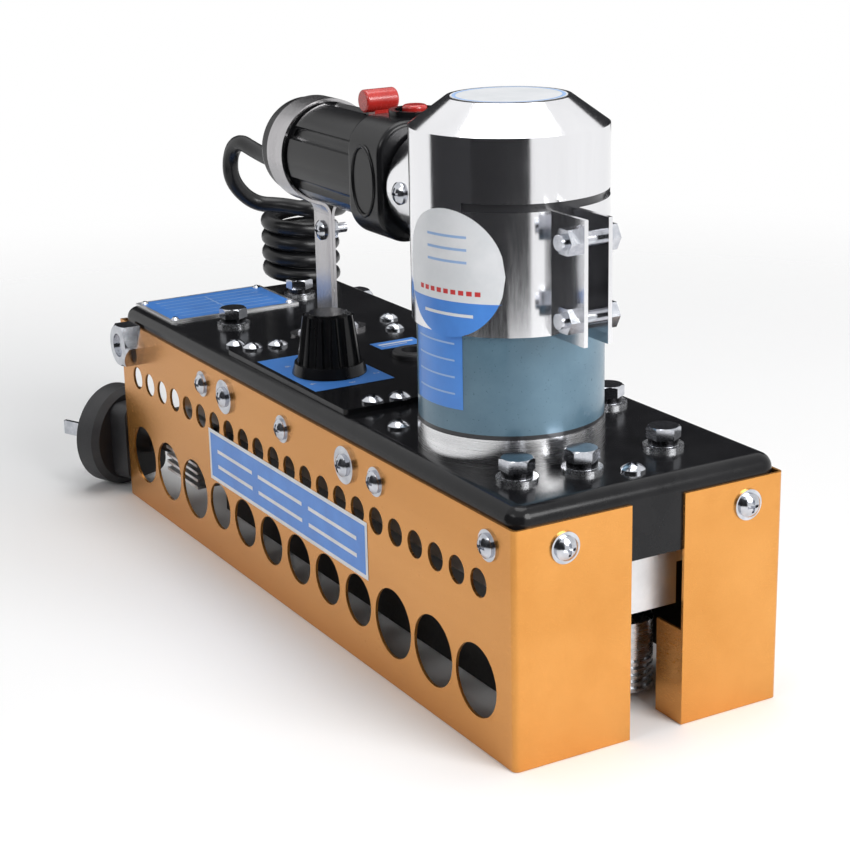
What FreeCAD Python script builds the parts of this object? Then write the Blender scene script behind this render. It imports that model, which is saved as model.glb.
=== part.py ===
import FreeCAD, Part
import math
import os

# Portable film heat sealer. Millimetres, X along the film path, Y across it, Z up from the table.

V = FreeCAD.Vector
X_AXIS = V(1, 0, 0)
Y_AXIS = V(0, 1, 0)
Z_AXIS = V(0, 0, 1)

# Side covers of bent sheet
cover_length = 316.0
cover_width = 104.0
cover_height = 80.0
cover_wall = 1.0
cover_bend = 2.0
slot_width = 20.5
guide_depth = 14.0
guide_height = 33.0
small_hole_diameter = 9.7
small_hole_pitch = 13.3
small_hole_count = 22
small_hole_height = 57.0
mid_hole_diameter = 19.0
mid_hole_pitch = 23.3
mid_hole_count = 6
large_hole_diameter = 24.8
large_hole_pitch = 27.0
large_hole_count = 3
large_hole_gap = 25.1
large_hole_height = 23.0
hole_row_shift = -2.2

# Top plate, a tray with a flange all round
plate_top = 86.0
plate_wall = 1.5
plate_bend = 5.0
plate_corner = 6.0
flange_depth = 25.0
cover_fit = 0.05

# Fasteners
screw_diameter = 4.0
screw_head_diameter = 8.0
screw_head_height = 2.6
screw_rim = 0.8
screw_length = 8.0
recess_width = 1.0
recess_span = 4.4
recess_depth = 1.2
screw_fit = 0.05
cover_screw_height = 71.5
bolt_diameter = 6.0
bolt_head_flats = 10.0
bolt_head_height = 4.0
washer_diameter = 13.6
washer_wall = 1.2
screw_washer_diameter = 10.4
screw_washer_wall = 0.7
spring_washer_diameter = 10.2
spring_washer_wall = 2.2
bolt_grip = 9.0
bolt_fit = 0.2
side_nut_flats = 17.0
side_nut_wall = 8.4
side_stud_diameter = 10.0
side_stud_inset = 17.0
side_stud_height = 73.0
side_stud_recess = 1.5
rear_tab_width = 34.0

# Film path and its carrier
film_y = 2.0
carrier_top = 60.0
carrier_wall = 12.0
carrier_rear_gap = 32.0
carrier_ear_half = 9.0
carrier_front_gap = 20.0
carrier_left_gap = 12.0
carrier_right_gap = 9.0
bolt_edge = 6.1
tongue_length = 11.0
tongue_wall = 21.0
tongue_left = -38.0
tongue_right = 16.0
spacer_diameter = 12.0

# Drive
drive_front_gap = 63.0
idler_rear_gap = 73.0
shaft_diameter = 8.0
bush_wall = 3.0
gear_teeth = 29
gear_width = 8.0
gear_gap = 4.0
gear_backlash = 0.2
pressure_angle = 20.0
pulley_radius = 13.0
pulley_belt_gap = 0.3
belt_wall = 0.9
belt_height = 14.0
belt_bottom = 13.0
film_gap = 0.6
pulley_overhang = 1.0
axle_diameter = 6.0
axle_head_diameter = 10.0
axle_head = 2.0
running_clearance = 0.05
end_float = 0.3
feed_front_gap = 32.0
feed_radius = 9.7
feed_gap = 1.0
feed_bottom = 3.0
feed_groove = 1.2
feed_groove_depth = 1.2
feed_groove_pitch = 2.4
feed_groove_count = 5

# Heating, cooling and controls
heat_rear = 5.0
heat_front = 70.0
cool_rear = -66.0
cool_front = -10.0
block_depth = 8.5
block_belt_gap = 0.3
hanger_diameter = 6.0
hanger_depth = 6.5
hanger_inset = 12.0
cartridge_diameter = 5.0
cartridge_tail = 6.0
cartridge_rise = 3.6
fin_wall = 1.2
fin_pitch = 3.2
fin_depth = 11.0
sink_rear_gap = 34.0
sink_length = 32.0
sink_base = 4.0
sink_cover_gap = 3.0
sink_bottom = 20.0
block_fin_depth = 4.0
block_fin_wall = 2.0
block_fin_pitch = 6.0
frame_wall = 2.0
frame_left_inset = 8.0
frame_right_inset = 5.0
frame_bottom = 6.0
frame_rear_gap = 58.0
frame_front_gap = 21.0
board_rear = -90.0
board_front = -34.0
board_left = -8.0
board_right = 36.0
board_wall = 1.6
standoff_height = 6.0
standoff_diameter = 6.0
standoff_inset = 5.0
relay_length = 18.0
relay_width = 14.0
relay_height = 11.0
terminal_length = 9.0
terminal_width = 32.0
terminal_height = 9.0

# Knob, panel and plates on top
panel_rear = -57.5
panel_front = 41.5
panel_left = -47.0
panel_right = -9.0
panel_wall = 2.0
knob_x = -6.0
knob_y = -28.5
knob_skirt_diameter = 28.0
knob_skirt = 4.0
knob_lower_diameter = 24.0
knob_upper_diameter = 19.0
knob_height = 21.8
knob_cap_diameter = 14.0
knob_cap_rise = 0.8
knob_flutes = 12
knob_flute_diameter = 4.0
knob_flute_depth = 1.7
knob_bore_depth = 12.0
knob_gap = 0.3
knob_shaft_diameter = 6.0
pot_diameter = 22.0
pot_height = 18.0
pot_bush_diameter = 9.0
rating_rear_gap = 4.0
rating_length = 39.0
rating_left = -46.0
rating_right = 13.0
rating_wall = 0.8
rivet_diameter = 3.6
rivet_height = 0.9
rivet_inset = 3.0
rivet_length = 2.0
rivet_shank = 2.0
grommet_x = -14.6
grommet_y = 12.1
grommet_diameter = 16.0
grommet_bore = 9.0
grommet_lip = 2.4
grommet_neck = 12.0

# Motor
motor_base_radius = 31.2
motor_base_height = 9.0
motor_radius = 30.9
motor_height = 104.0
motor_cap_room = 0.2
cap_radius = 32.4
cap_wall = 1.3
cap_fit = 0.1
cap_skirt = 61.0
cap_cone = 8.8
cap_flat_radius = 20.3
cap_band = 39.6
slit_height = 2.6
slit_half_angle = 60.0
ear_gap = 7.5
ear_wall = 1.4
ear_reach = 50.0
clamp_bolt_reach = 44.5
clamp_bolt_rises = (8.0, 32.5)
clamp_bolt_diameter = 5.0
clamp_nut_flats = 8.0
clamp_nut_wall = 4.0
clamp_bolt_tail = 2.0
motor_hole_diameter = 24.0

# Handle
handle_y = 2.0
handle_z = 160.0
handle_rear = -82.0
handle_front = 60.0
handle_radius = 19.6
handle_wall = 2.8
handle_end_round = 3.0
collar_rear = -2.0
collar_front = 22.0
collar_half_width = 22.5
collar_drop = 20.6
collar_rise = 22.8
collar_corner = 12.0
collar_edge = 2.0
groove_radius = 3.2
groove_depth = 1.8
groove_count = 6
groove_rear_margin = 25.0
ring_groove = 2.4
ring_groove_depth = 1.0
sleeve_rear = 24.0
sleeve_front = 44.0
sleeve_wall = 0.9
sleeve_screw_x = 33.5
strap_wall = 1.2
strap_fit = 0.1
strap_rear_x = -66.0
strap_rear_width = 13.0
strap_front_x = 52.0
strap_front_width = 12.0
strap_bend = 6.0
strap_foot_bend = 2.0
strap_foot = 16.5
strap_leg_gap = 0.1
strap_bolt_z = 128.0
foot_screw_offset = 9.5
switch_rear = -34.0
switch_front = 6.0
switch_half_width = 11.0
switch_drop = 12.0
switch_rise = 6.0
lever_x = -18.0
lever_pivot_rise = 10.5
lever_pin_diameter = 3.0
lever_hub_radius = 3.2
lever_hub_width = 9.0
lever_lug_wall = 2.5
lever_lug_gap = 0.4
lever_lug_round = 3.0
lever_stem_length = 5.0
lever_stem_width = 6.0
lever_bar_diameter = 8.5
lever_bar_length = 13.5
lever_bar_rise = 25.0
lever_swing = 12.0
lever_slot_room = 0.8
button_x = 9.0
button_diameter = 9.0
button_collar_diameter = 12.0
button_collar = 3.0
button_rise = 3.6
button_travel = 2.5
button_clearance = 0.1
button_seat_gap = 0.3
hood_diameter = 19.0
hood_wall = 2.2
hood_height = 2.0

# Cord and plug
cord_diameter = 6.8
gland_drop = 10.0
gland_length = 20.0
gland_neck_diameter = 9.0
gland_collar_diameter = 12.0
gland_collar = 2.0
gland_root_diameter = 13.0
gland_tip_diameter = 8.4
hank_x = -151.5
hank_y = 33.0
hank_radius = 14.0
hank_pitch = 7.8
hank_start_angle = 330.0
hank_turns = 5
hank_exit_angle = 90.0
hank_bulge = 6.0
hank_bulge_angle = 330.0
hank_bulge_spread = 220.0
hank_seat = 0.2
lead_route = ((-113.5, 2.0, 150.0), (-126.0, 1.0, 151.8), (-138.3, -1.0, 155.0), (-147.6, -1.2, 147.0),
              (-147.6, -1.0, 135.5))
tail_route = ((-171.0, 47.0, 89.6), (-187.0, 47.0, 80.8), (-193.5, 46.5, 62.0), (-193.5, 45.0, 42.0),
              (-188.0, 42.0, 23.0), (-173.0, 38.0, 8.0), (-153.0, 32.0, 3.9), (-133.0, 21.0, 3.9),
              (-120.5, 5.0, 4.1), (-118.0, -12.5, 7.3), (-127.0, -27.0, 13.0))
lead_run = 12.0
plug_run = 16.0
plug_x = -178.0
plug_y = -48.5
plug_turn = 24.0
plug_radius = 22.3
plug_wall = 14.0
plug_edge = 2.5
plug_grip_half_width = 12.0
plug_grip_half_height = 17.0
plug_grip = 9.0
plug_grip_round = 5.0
plug_hub_radius = 8.0
plug_tip_radius = 5.0
plug_hub = 16.0
blade_length = 21.0
blade_width = 6.3
blade_wall = 1.6
blade_spacing = 12.7
blade_root = 5.0

# Values that follow from the sizes above
half_length = cover_length / 2
half_width = cover_width / 2
plate_half_length = half_length - cover_wall - cover_fit
plate_half_width = half_width - cover_wall - cover_fit
plate_under = plate_top - plate_wall
flange_bottom = plate_top - flange_depth
side_stud_x = -half_length + side_stud_inset
carrier_rear = -half_length + carrier_rear_gap
carrier_front = half_length - carrier_front_gap
carrier_left = -half_width + carrier_left_gap
carrier_right = half_width - carrier_right_gap
drive_x = half_length - drive_front_gap
idler_x = -half_length + idler_rear_gap
feed_x = half_length - feed_front_gap
sink_rear = -half_length + sink_rear_gap
sink_front = sink_rear + sink_length
sink_right = -half_width + cover_wall + sink_cover_gap + fin_depth + sink_base
frame_left = carrier_left + frame_left_inset
frame_right = carrier_right - frame_right_inset
frame_rear = -half_length + frame_rear_gap
frame_front = half_length - frame_front_gap
rating_rear = -half_length + rating_rear_gap
rating_front = rating_rear + rating_length
motor_top = plate_top + motor_height
cap_bottom = motor_top - cap_skirt
cap_shoulder = motor_top + cap_wall + motor_cap_room
cap_top = cap_shoulder + cap_cone
slit_bottom = cap_bottom + cap_band
ear_end = drive_x + ear_reach
clamp_bolt_x = drive_x + clamp_bolt_reach
clamp_bolt_heights = tuple(cap_bottom + rise for rise in clamp_bolt_rises)
collar_top = handle_z + collar_rise
collar_bottom = handle_z - collar_drop
slot_left = film_y - slot_width / 2
slot_right = film_y + slot_width / 2
carrier_bottom = carrier_top - carrier_wall
belt_inner = pulley_radius + pulley_belt_gap
belt_outer = belt_inner + belt_wall
left_y = film_y - film_gap / 2 - belt_outer
right_y = film_y + film_gap / 2 + belt_outer
motor_y = left_y
gear_module = (right_y - left_y) / gear_teeth
feed_left_y = film_y - feed_gap / 2 - feed_radius
feed_right_y = film_y + feed_gap / 2 + feed_radius
belt_top = belt_bottom + belt_height
roller_bottom = belt_bottom - pulley_overhang
panel_top = plate_top + panel_wall
strap_inner = handle_radius + strap_fit
cord_radius = cord_diameter / 2
gland_z = handle_z - gland_drop

front_end = half_length
rear_end = -half_length
carrier_bolt_spots = (
    (rear_end + 59.7, -25.3), (rear_end + 28.3, 20.9), (front_end - 26.1, carrier_left + bolt_edge),
    (front_end - 22.9, -11.5), (front_end - 27.5, 23.9), (front_end - 77.3, carrier_right - bolt_edge))
plate_screw_spots = ((-67.3, -38.7), (-70.4, 32.5), (-54.6, 26.5), (front_end - 95.0, -37.7),
                     (front_end - 13.2, 1.4))
panel_screw_spots = ((-52.6, -38.2), (-51.0, -28.1), (37.4, -33.9), (38.5, -23.5))
side_screw_places = (-71.2, 0.8, 72.0, front_end - 14.3)
washer_screw_places = (-49.4, 50.4)
end_screw_places = (-33.5, 37.3)


# Solid helpers

def box(x0, x1, y0, y1, z0, z1):
    return Part.makeBox(x1 - x0, y1 - y0, z1 - z0, V(x0, y0, z0))


def rod(x, y, z0, z1, radius):
    return Part.makeCylinder(radius, z1 - z0, V(x, y, z0))


def rod_x(y, z, x0, x1, radius):
    return Part.makeCylinder(radius, x1 - x0, V(x0, y, z), X_AXIS)


def rod_y(x, z, y0, y1, radius):
    return Part.makeCylinder(radius, y1 - y0, V(x, y0, z), Y_AXIS)


def tube(x, y, z0, z1, outer, inner):
    return rod(x, y, z0, z1, outer).cut(rod(x, y, z0, z1, inner))


def hexagon(flats, height):
    corner = flats / 2 / math.cos(math.pi / 6)
    turns = [k * math.pi / 3 for k in range(7)]
    points = [V(corner * math.cos(turn), corner * math.sin(turn), 0) for turn in turns]
    return Part.Face(Part.makePolygon(points)).extrude(V(0, 0, height))


def facing(shape, origin, direction):
    shape.Placement = FreeCAD.Placement(origin, FreeCAD.Rotation(Z_AXIS, direction))
    return shape


def parallel_edges(shape, axis):
    picked = []
    for edge in shape.Edges:
        if isinstance(edge.Curve, Part.Line) and abs(edge.Curve.Direction.dot(axis)) > 0.999:
            picked.append(edge)
    return picked


def edges_at(shape, axis, level):
    picked = []
    for edge in shape.Edges:
        if all(abs(vertex.Point.dot(axis) - level) < 1e-4 for vertex in edge.Vertexes):
            picked.append(edge)
    return picked


def save(name, *solids):
    shape = solids[0] if len(solids) == 1 else Part.makeCompound(list(solids))
    shape.exportStep(os.path.join("parts", name + ".step"))


def pan_screw(length, diameter=screw_diameter):
    # Head above the seat at zero, shank below, cross recess in the dome
    head = screw_head_diameter * diameter / screw_diameter / 2
    top = screw_head_height * diameter / screw_diameter
    rise = top - screw_rim
    sphere = (head ** 2 + rise ** 2) / (2 * rise)
    half = math.asin(head / sphere) / 2
    middle = V(sphere * math.sin(half), 0, top - sphere + sphere * math.cos(half))
    corner = V(head, 0, screw_rim)
    edges = [
        Part.makeLine(V(0, 0, 0), V(head, 0, 0)),
        Part.makeLine(V(head, 0, 0), corner),
        Part.Arc(corner, middle, V(0, 0, top)).toShape(),
        Part.makeLine(V(0, 0, top), V(0, 0, 0))]
    screw = Part.Face(Part.Wire(edges)).revolve(V(0, 0, 0), Z_AXIS, 360)
    half_span = recess_span * diameter / screw_diameter / 2
    half_slot = recess_width / 2
    floor = top - recess_depth
    screw = screw.cut(box(-half_span, half_span, -half_slot, half_slot, floor, top))
    screw = screw.cut(box(-half_slot, half_slot, -half_span, half_span, floor, top))
    return screw.fuse(rod(0, 0, -length, 0, diameter / 2))


def screw_hole(origin, direction, diameter=screw_diameter):
    hole = rod(0, 0, -screw_length, screw_length, diameter / 2 + screw_fit)
    return facing(hole, origin, direction)


# Covers and top plate

def side_pattern():
    spots = []
    for k in range(small_hole_count):
        x = hole_row_shift + (k - (small_hole_count - 1) / 2) * small_hole_pitch
        spots.append((x, small_hole_height, small_hole_diameter))
    for k in range(mid_hole_count):
        x = hole_row_shift + (k - (mid_hole_count - 1) / 2) * mid_hole_pitch
        spots.append((x, large_hole_height, mid_hole_diameter))
    first = (mid_hole_count - 1) / 2 * mid_hole_pitch + large_hole_gap
    for k in range(large_hole_count):
        for side in (-1, 1):
            x = hole_row_shift + side * (first + k * large_hole_pitch)
            spots.append((x, large_hole_height, large_hole_diameter))
    return spots


def side_cover(side, slot_edge):
    # Side sheet, front flap and the guide lip that turns in beside the slot
    outer = side * half_width
    low = min(outer, slot_edge)
    high = max(outer, slot_edge)
    shell = box(-half_length, half_length, low, high, 0, cover_height)
    corner = [e for e in parallel_edges(shell, Z_AXIS)
              if e.Vertexes[0].X > 0 and abs(e.Vertexes[0].Y - outer) < 1e-6]
    shell = shell.makeFillet(cover_bend, corner)
    inner_low = low + (cover_wall if side < 0 else 0)
    inner_high = high - (cover_wall if side > 0 else 0)
    room = box(-half_length, half_length - cover_wall, inner_low, inner_high, 0, cover_height)
    inner_corner = [e for e in parallel_edges(room, Z_AXIS)
                    if e.Vertexes[0].X > 0 and abs(e.Vertexes[0].Y - (outer - side * cover_wall)) < 1e-6]
    shell = shell.cut(room.makeFillet(cover_bend - cover_wall, inner_corner))
    lip_low = min(slot_edge, slot_edge + side * cover_wall)
    lip = box(half_length - guide_depth, half_length, lip_low, lip_low + cover_wall, 0, guide_height)
    tab_low = min(outer, outer - side * rear_tab_width)
    tab = box(-half_length, -half_length + cover_wall, tab_low, tab_low + rear_tab_width,
              flange_bottom, cover_height)
    shell = shell.fuse(lip).fuse(tab)
    for x, z, diameter in side_pattern():
        shell = shell.cut(rod_y(x, z, outer - cover_wall * 2, outer + cover_wall * 2, diameter / 2))
    for origin, direction, diameter in cover_screw_places(side):
        shell = shell.cut(screw_hole(origin, direction, diameter))
    return shell.removeSplitter()


def cover_screw_places(side):
    outward = V(0, side, 0)
    row = side_screw_places + washer_screw_places
    places = [(V(x, side * half_width, cover_screw_height), outward, screw_diameter) for x in row]
    for y in end_screw_places:
        if y * side > 0:
            places.append((V(half_length, y, cover_screw_height), X_AXIS, screw_diameter))
            places.append((V(-half_length, y, cover_screw_height), V(-1, 0, 0), screw_diameter))
    places.append((V(side_stud_x, side * half_width, side_stud_height), outward, side_stud_diameter))
    return places


def tray(half_x, half_y, bottom, top, corner, bend):
    body = box(-half_x, half_x, -half_y, half_y, bottom, top)
    body = body.makeFillet(corner, parallel_edges(body, Z_AXIS))
    return body.makeFillet(bend, edges_at(body, Z_AXIS, top))


def top_plate():
    plate = tray(plate_half_length, plate_half_width, flange_bottom, plate_top, plate_corner, plate_bend)
    plate = plate.cut(tray(plate_half_length - plate_wall, plate_half_width - plate_wall,
                           flange_bottom - plate_wall, plate_under, plate_corner - plate_wall,
                           plate_bend - plate_wall))
    for side in (-1, 1):
        for origin, direction, diameter in cover_screw_places(side):
            plate = plate.cut(screw_hole(origin, direction, diameter))
    for x, y in carrier_bolt_spots:
        plate = plate.cut(rod(x, y, flange_bottom, plate_top, bolt_diameter / 2 + bolt_fit))
    for x, y in plate_screw_spots + panel_screw_spots + foot_screw_spots():
        plate = plate.cut(rod(x, y, flange_bottom, plate_top, screw_diameter / 2 + screw_fit))
    plate = plate.cut(rod(knob_x, knob_y, flange_bottom, plate_top, pot_bush_diameter / 2 + screw_fit))
    plate = plate.cut(rod(grommet_x, grommet_y, flange_bottom, plate_top, grommet_neck / 2 + screw_fit))
    for x, y in rivet_spots():
        plate = plate.cut(rod(x, y, flange_bottom, plate_top, rivet_shank / 2 + screw_fit))
    return plate.cut(rod(drive_x, motor_y, flange_bottom, plate_top, motor_hole_diameter / 2))


def foot_screw_spots():
    spots = []
    for x in (strap_rear_x, strap_front_x):
        for side in (-1, 1):
            spots.append((x, handle_y + side * foot_screw_offset))
    return tuple(spots)


def rivet_spots():
    spots = []
    for x in (rating_rear + rivet_inset, rating_front - rivet_inset):
        for y in (rating_left + rivet_inset, rating_right - rivet_inset):
            spots.append((x, y))
    return spots


def cover_fasteners():
    screws = []
    washers = []
    for side in (-1, 1):
        for origin, direction, diameter in cover_screw_places(side):
            if diameter != screw_diameter:
                continue
            washered = abs(origin.y) > half_width - 1 and origin.x in washer_screw_places
            lift = washer_wall if washered else screw_washer_wall
            wide = washer_diameter if washered else screw_washer_diameter
            ring = tube(0, 0, 0, lift, wide / 2, screw_diameter / 2 + screw_fit)
            washers.append(facing(ring, origin, direction))
            screws.append(facing(pan_screw(screw_length), origin + direction * lift, direction))
    save("cover_screws", *screws)
    save("cover_washers", *washers)


def cross_stud():
    # Threaded rod through both covers with a nut on each end
    reach = half_width + side_nut_wall - side_stud_recess
    pieces = [rod_y(side_stud_x, side_stud_height, -reach, reach, side_stud_diameter / 2)]
    for side in (-1, 1):
        crown = Part.makeCone(side_nut_flats, side_nut_flats / 2, side_nut_wall)
        nut = hexagon(side_nut_flats, side_nut_wall).common(crown)
        nut = nut.cut(rod(0, 0, 0, side_nut_wall, side_stud_diameter / 2 + screw_fit))
        pieces.append(facing(nut, V(side_stud_x, side * half_width, side_stud_height), V(0, side, 0)))
    save("cross_stud", *pieces)


# Carrier and film path

def carrier():
    plate = box(carrier_rear, carrier_front, carrier_left, carrier_right, carrier_bottom, carrier_top)
    plate = plate.fuse(box(carrier_front, carrier_front + tongue_length, tongue_left, tongue_right,
                           carrier_top - tongue_wall, carrier_top))
    ear_x, ear_y = min(carrier_bolt_spots)
    plate = plate.fuse(box(ear_x - carrier_ear_half, carrier_rear,
                           ear_y - carrier_ear_half, ear_y + carrier_ear_half,
                           carrier_bottom, carrier_top))
    for x, y in carrier_bolt_spots:
        plate = plate.cut(rod(x, y, carrier_top - bolt_grip, carrier_top, bolt_diameter / 2 + screw_fit))
    for y in (left_y, right_y):
        plate = plate.cut(rod(drive_x, y, carrier_bottom, carrier_top, shaft_diameter / 2 + bush_wall))
    return plate.removeSplitter()


def carrier_fasteners(standoffs):
    spacers = list(standoffs)
    washers = []
    bolts = []
    head_seat = plate_top + washer_wall + spring_washer_wall
    for x, y in carrier_bolt_spots:
        hole = bolt_diameter / 2 + bolt_fit
        spacers.append(tube(x, y, carrier_top, plate_under, spacer_diameter / 2, hole))
        washers.append(tube(x, y, plate_top, plate_top + washer_wall, washer_diameter / 2, hole))
        washers.append(tube(x, y, plate_top + washer_wall, head_seat, spring_washer_diameter / 2, hole))
        head = hexagon(bolt_head_flats, bolt_head_height)
        crown = Part.makeCone(bolt_head_flats, bolt_head_flats / 2, bolt_head_height)
        head = head.common(crown)
        head.translate(V(x, y, head_seat))
        bolts.append(head.fuse(rod(x, y, carrier_top - bolt_grip, head_seat, bolt_diameter / 2)))
    save("carrier_spacers", *spacers)
    save("bolt_washers", *washers)
    save("carrier_bolts", *bolts)


def gear(x, y, bottom, first_angle):
    # Involute teeth, each flank drawn through points on the curve
    pitch_radius = gear_module * gear_teeth / 2
    base = pitch_radius * math.cos(math.radians(pressure_angle))
    tip = pitch_radius + gear_module
    root = pitch_radius - 1.25 * gear_module
    thick = (math.pi * gear_module / 2 - gear_backlash) / pitch_radius / 2
    roll = math.tan(math.radians(pressure_angle)) - math.radians(pressure_angle)
    steps = 4
    flank = []
    for k in range(steps + 1):
        radius = max(base, root) + (tip - max(base, root)) * k / steps
        alpha = math.acos(base / radius)
        flank.append((radius, thick + roll - (math.tan(alpha) - alpha)))
    points = []
    for tooth in range(gear_teeth):
        centre = math.radians(first_angle) + 2 * math.pi * tooth / gear_teeth
        side = [(root, flank[0][1])] + flank
        for radius, offset in side:
            points.append(V(radius * math.cos(centre - offset), radius * math.sin(centre - offset), 0))
        for radius, offset in reversed(side):
            points.append(V(radius * math.cos(centre + offset), radius * math.sin(centre + offset), 0))
    points.append(points[0])
    wheel = Part.Face(Part.makePolygon(points)).extrude(V(0, 0, gear_width))
    wheel.translate(V(x, y, bottom))
    return wheel.cut(rod(x, y, bottom, bottom + gear_width, shaft_diameter / 2))


def drive_side(name, y, shaft_top, first_angle):
    gear_bottom = carrier_top + gear_gap
    shaft = rod(drive_x, y, belt_bottom - pulley_overhang, shaft_top, shaft_diameter / 2)
    save(name + "_shaft", shaft)
    save(name + "_gear", gear(drive_x, y, gear_bottom, first_angle))
    save(name + "_pulley", tube(drive_x, y, belt_bottom - pulley_overhang, belt_top + pulley_overhang,
                                pulley_radius, shaft_diameter / 2))
    return tube(drive_x, y, carrier_bottom, carrier_top, shaft_diameter / 2 + bush_wall,
                shaft_diameter / 2 + running_clearance)


def axle(x, y, roller_bottom):
    pin = rod(x, y, roller_bottom - end_float - axle_head, carrier_bottom, axle_diameter / 2)
    head = rod(x, y, roller_bottom - end_float - axle_head, roller_bottom - end_float, axle_head_diameter / 2)
    return pin.fuse(head)


def idler(y):
    return tube(idler_x, y, belt_bottom - pulley_overhang, belt_top + pulley_overhang,
                pulley_radius, axle_diameter / 2 + running_clearance)


def feed_roller(y):
    top = belt_top + pulley_overhang
    roller = tube(feed_x, y, feed_bottom, top, feed_radius, axle_diameter / 2 + running_clearance)
    for k in range(feed_groove_count):
        level = feed_bottom + feed_groove_pitch * (k + 0.5)
        groove = tube(feed_x, y, level, level + feed_groove, feed_radius, feed_radius - feed_groove_depth)
        roller = roller.cut(groove)
    return roller


def belt(y):
    def loop(radius):
        ends = rod(drive_x, y, belt_bottom, belt_top, radius)
        ends = ends.fuse(rod(idler_x, y, belt_bottom, belt_top, radius))
        return ends.fuse(box(idler_x, drive_x, y - radius, y + radius, belt_bottom, belt_top))
    return loop(belt_outer).cut(loop(belt_inner)).removeSplitter()


def block_face(side):
    return film_y + side * (film_gap / 2 + belt_wall + block_belt_gap)


def block(rear, front, side):
    face = block_face(side)
    back = face + side * block_depth
    body = box(rear, front, min(face, back), max(face, back), belt_bottom, belt_top)
    for x in (rear + hanger_inset, front - hanger_inset):
        bore = rod(x, (face + back) / 2, belt_top - hanger_depth, belt_top, hanger_diameter / 2 + screw_fit)
        body = body.cut(bore)
    return body


def heat_block(side):
    y = block_face(side) + side * block_depth / 2
    level = belt_bottom + cartridge_rise
    return block(heat_rear, heat_front, side).cut(
        rod_x(y, level, heat_rear, heat_front, cartridge_diameter / 2 + screw_fit))


def cartridge(side):
    y = block_face(side) + side * block_depth / 2
    level = belt_bottom + cartridge_rise
    return rod_x(y, level, heat_rear, heat_front + cartridge_tail, cartridge_diameter / 2)


def cool_block(side):
    body = block(cool_rear, cool_front, side)
    back = block_face(side) + side * block_depth
    floor = back - side * block_fin_depth
    for k in range(int((cool_front - cool_rear) / block_fin_pitch) - 1):
        x = cool_rear + block_fin_pitch * (k + 1)
        spots = (cool_rear + hanger_inset, cool_front - hanger_inset)
        if min(abs(x + block_fin_wall - spot) for spot in spots) < hanger_diameter:
            continue
        body = body.cut(box(x, x + block_fin_pitch - block_fin_wall, min(back, floor), max(back, floor),
                            belt_bottom, belt_top))
    return body


def hangers():
    posts = []
    for rear, front in ((heat_rear, heat_front), (cool_rear, cool_front)):
        for x in (rear + hanger_inset, front - hanger_inset):
            for side in (-1, 1):
                y = block_face(side) + side * block_depth / 2
                posts.append(rod(x, y, belt_top - hanger_depth, carrier_bottom, hanger_diameter / 2))
    return posts


def frame_plates():
    plates = []
    for y in (frame_left, frame_right - frame_wall):
        plates.append(box(frame_rear, frame_front, y, y + frame_wall, frame_bottom, carrier_bottom))
    return plates


def heat_sink():
    left = sink_right - sink_base
    body = box(sink_rear, sink_front, left, sink_right, sink_bottom, carrier_bottom)
    count = int((carrier_bottom - sink_bottom - fin_wall) / fin_pitch) + 1
    fins = [box(sink_rear, sink_front, left - fin_depth, left, sink_bottom + k * fin_pitch,
                sink_bottom + k * fin_pitch + fin_wall) for k in range(count)]
    return body.multiFuse(fins).removeSplitter()


def control_board():
    under = carrier_top + standoff_height
    board = box(board_rear, board_front, board_left, board_right, under, under + board_wall)
    spots = [(x, y) for x in (board_rear + standoff_inset, board_front - standoff_inset)
             for y in (board_left + standoff_inset, board_right - standoff_inset)]
    standoffs = [rod(x, y, carrier_top, under, standoff_diameter / 2) for x, y in spots]
    save("control_board", board)
    top = under + board_wall
    middle_x = (board_rear + board_front) / 2
    middle_y = (board_left + board_right) / 2
    relay = box(middle_x, middle_x + relay_length, middle_y - relay_width / 2, middle_y + relay_width / 2,
                top, top + relay_height)
    rear = middle_x - relay_length / 2
    terminals = box(rear - terminal_length, rear,
                    middle_y - terminal_width / 2, middle_y + terminal_width / 2,
                    top, top + terminal_height)
    save("board_components", relay, terminals)
    return standoffs


# Controls and plates on the top plate

def panel():
    plate = box(panel_rear, panel_front, panel_left, panel_right, plate_top, panel_top)
    plate = plate.makeFillet(panel_wall, parallel_edges(plate, Z_AXIS))
    for x, y in panel_screw_spots:
        plate = plate.cut(rod(x, y, plate_top, panel_top, screw_diameter / 2 + screw_fit))
    return plate.cut(rod(knob_x, knob_y, plate_top, panel_top, pot_bush_diameter / 2 + screw_fit))


def plate_screws():
    spots = [(x, y, plate_top) for x, y in plate_screw_spots]
    spots += [(x, y, panel_top) for x, y in panel_screw_spots]
    spots += [(x, y, plate_top + strap_wall) for x, y in foot_screw_spots()]
    return [facing(pan_screw(screw_length), V(x, y, z), Z_AXIS) for x, y, z in spots]


def rating_plate():
    plate = box(rating_rear, rating_front, rating_left, rating_right, plate_top, plate_top + rating_wall)
    for x, y in rivet_spots():
        plate = plate.cut(rod(x, y, plate_top, plate_top + rating_wall, rivet_shank / 2 + screw_fit))
    save("rating_plate", plate)
    seat = plate_top + rating_wall
    rivets = []
    for x, y in rivet_spots():
        head = Part.makeCone(rivet_diameter / 2, rivet_diameter / 4, rivet_height, V(x, y, seat))
        rivets.append(head.fuse(rod(x, y, seat - rivet_length, seat, rivet_shank / 2)))
    save("rating_rivets", *rivets)


def grommet():
    body = rod(grommet_x, grommet_y, plate_top, plate_top + grommet_lip, grommet_diameter / 2)
    body = body.makeFillet(grommet_lip / 2, edges_at(body, Z_AXIS, plate_top + grommet_lip))
    body = body.fuse(rod(grommet_x, grommet_y, plate_under, plate_top, grommet_neck / 2))
    body = body.fuse(rod(grommet_x, grommet_y, plate_under - grommet_lip, plate_under, grommet_diameter / 2))
    bore = rod(grommet_x, grommet_y, plate_under - grommet_lip, plate_top + grommet_lip, grommet_bore / 2)
    return body.cut(bore)


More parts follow.
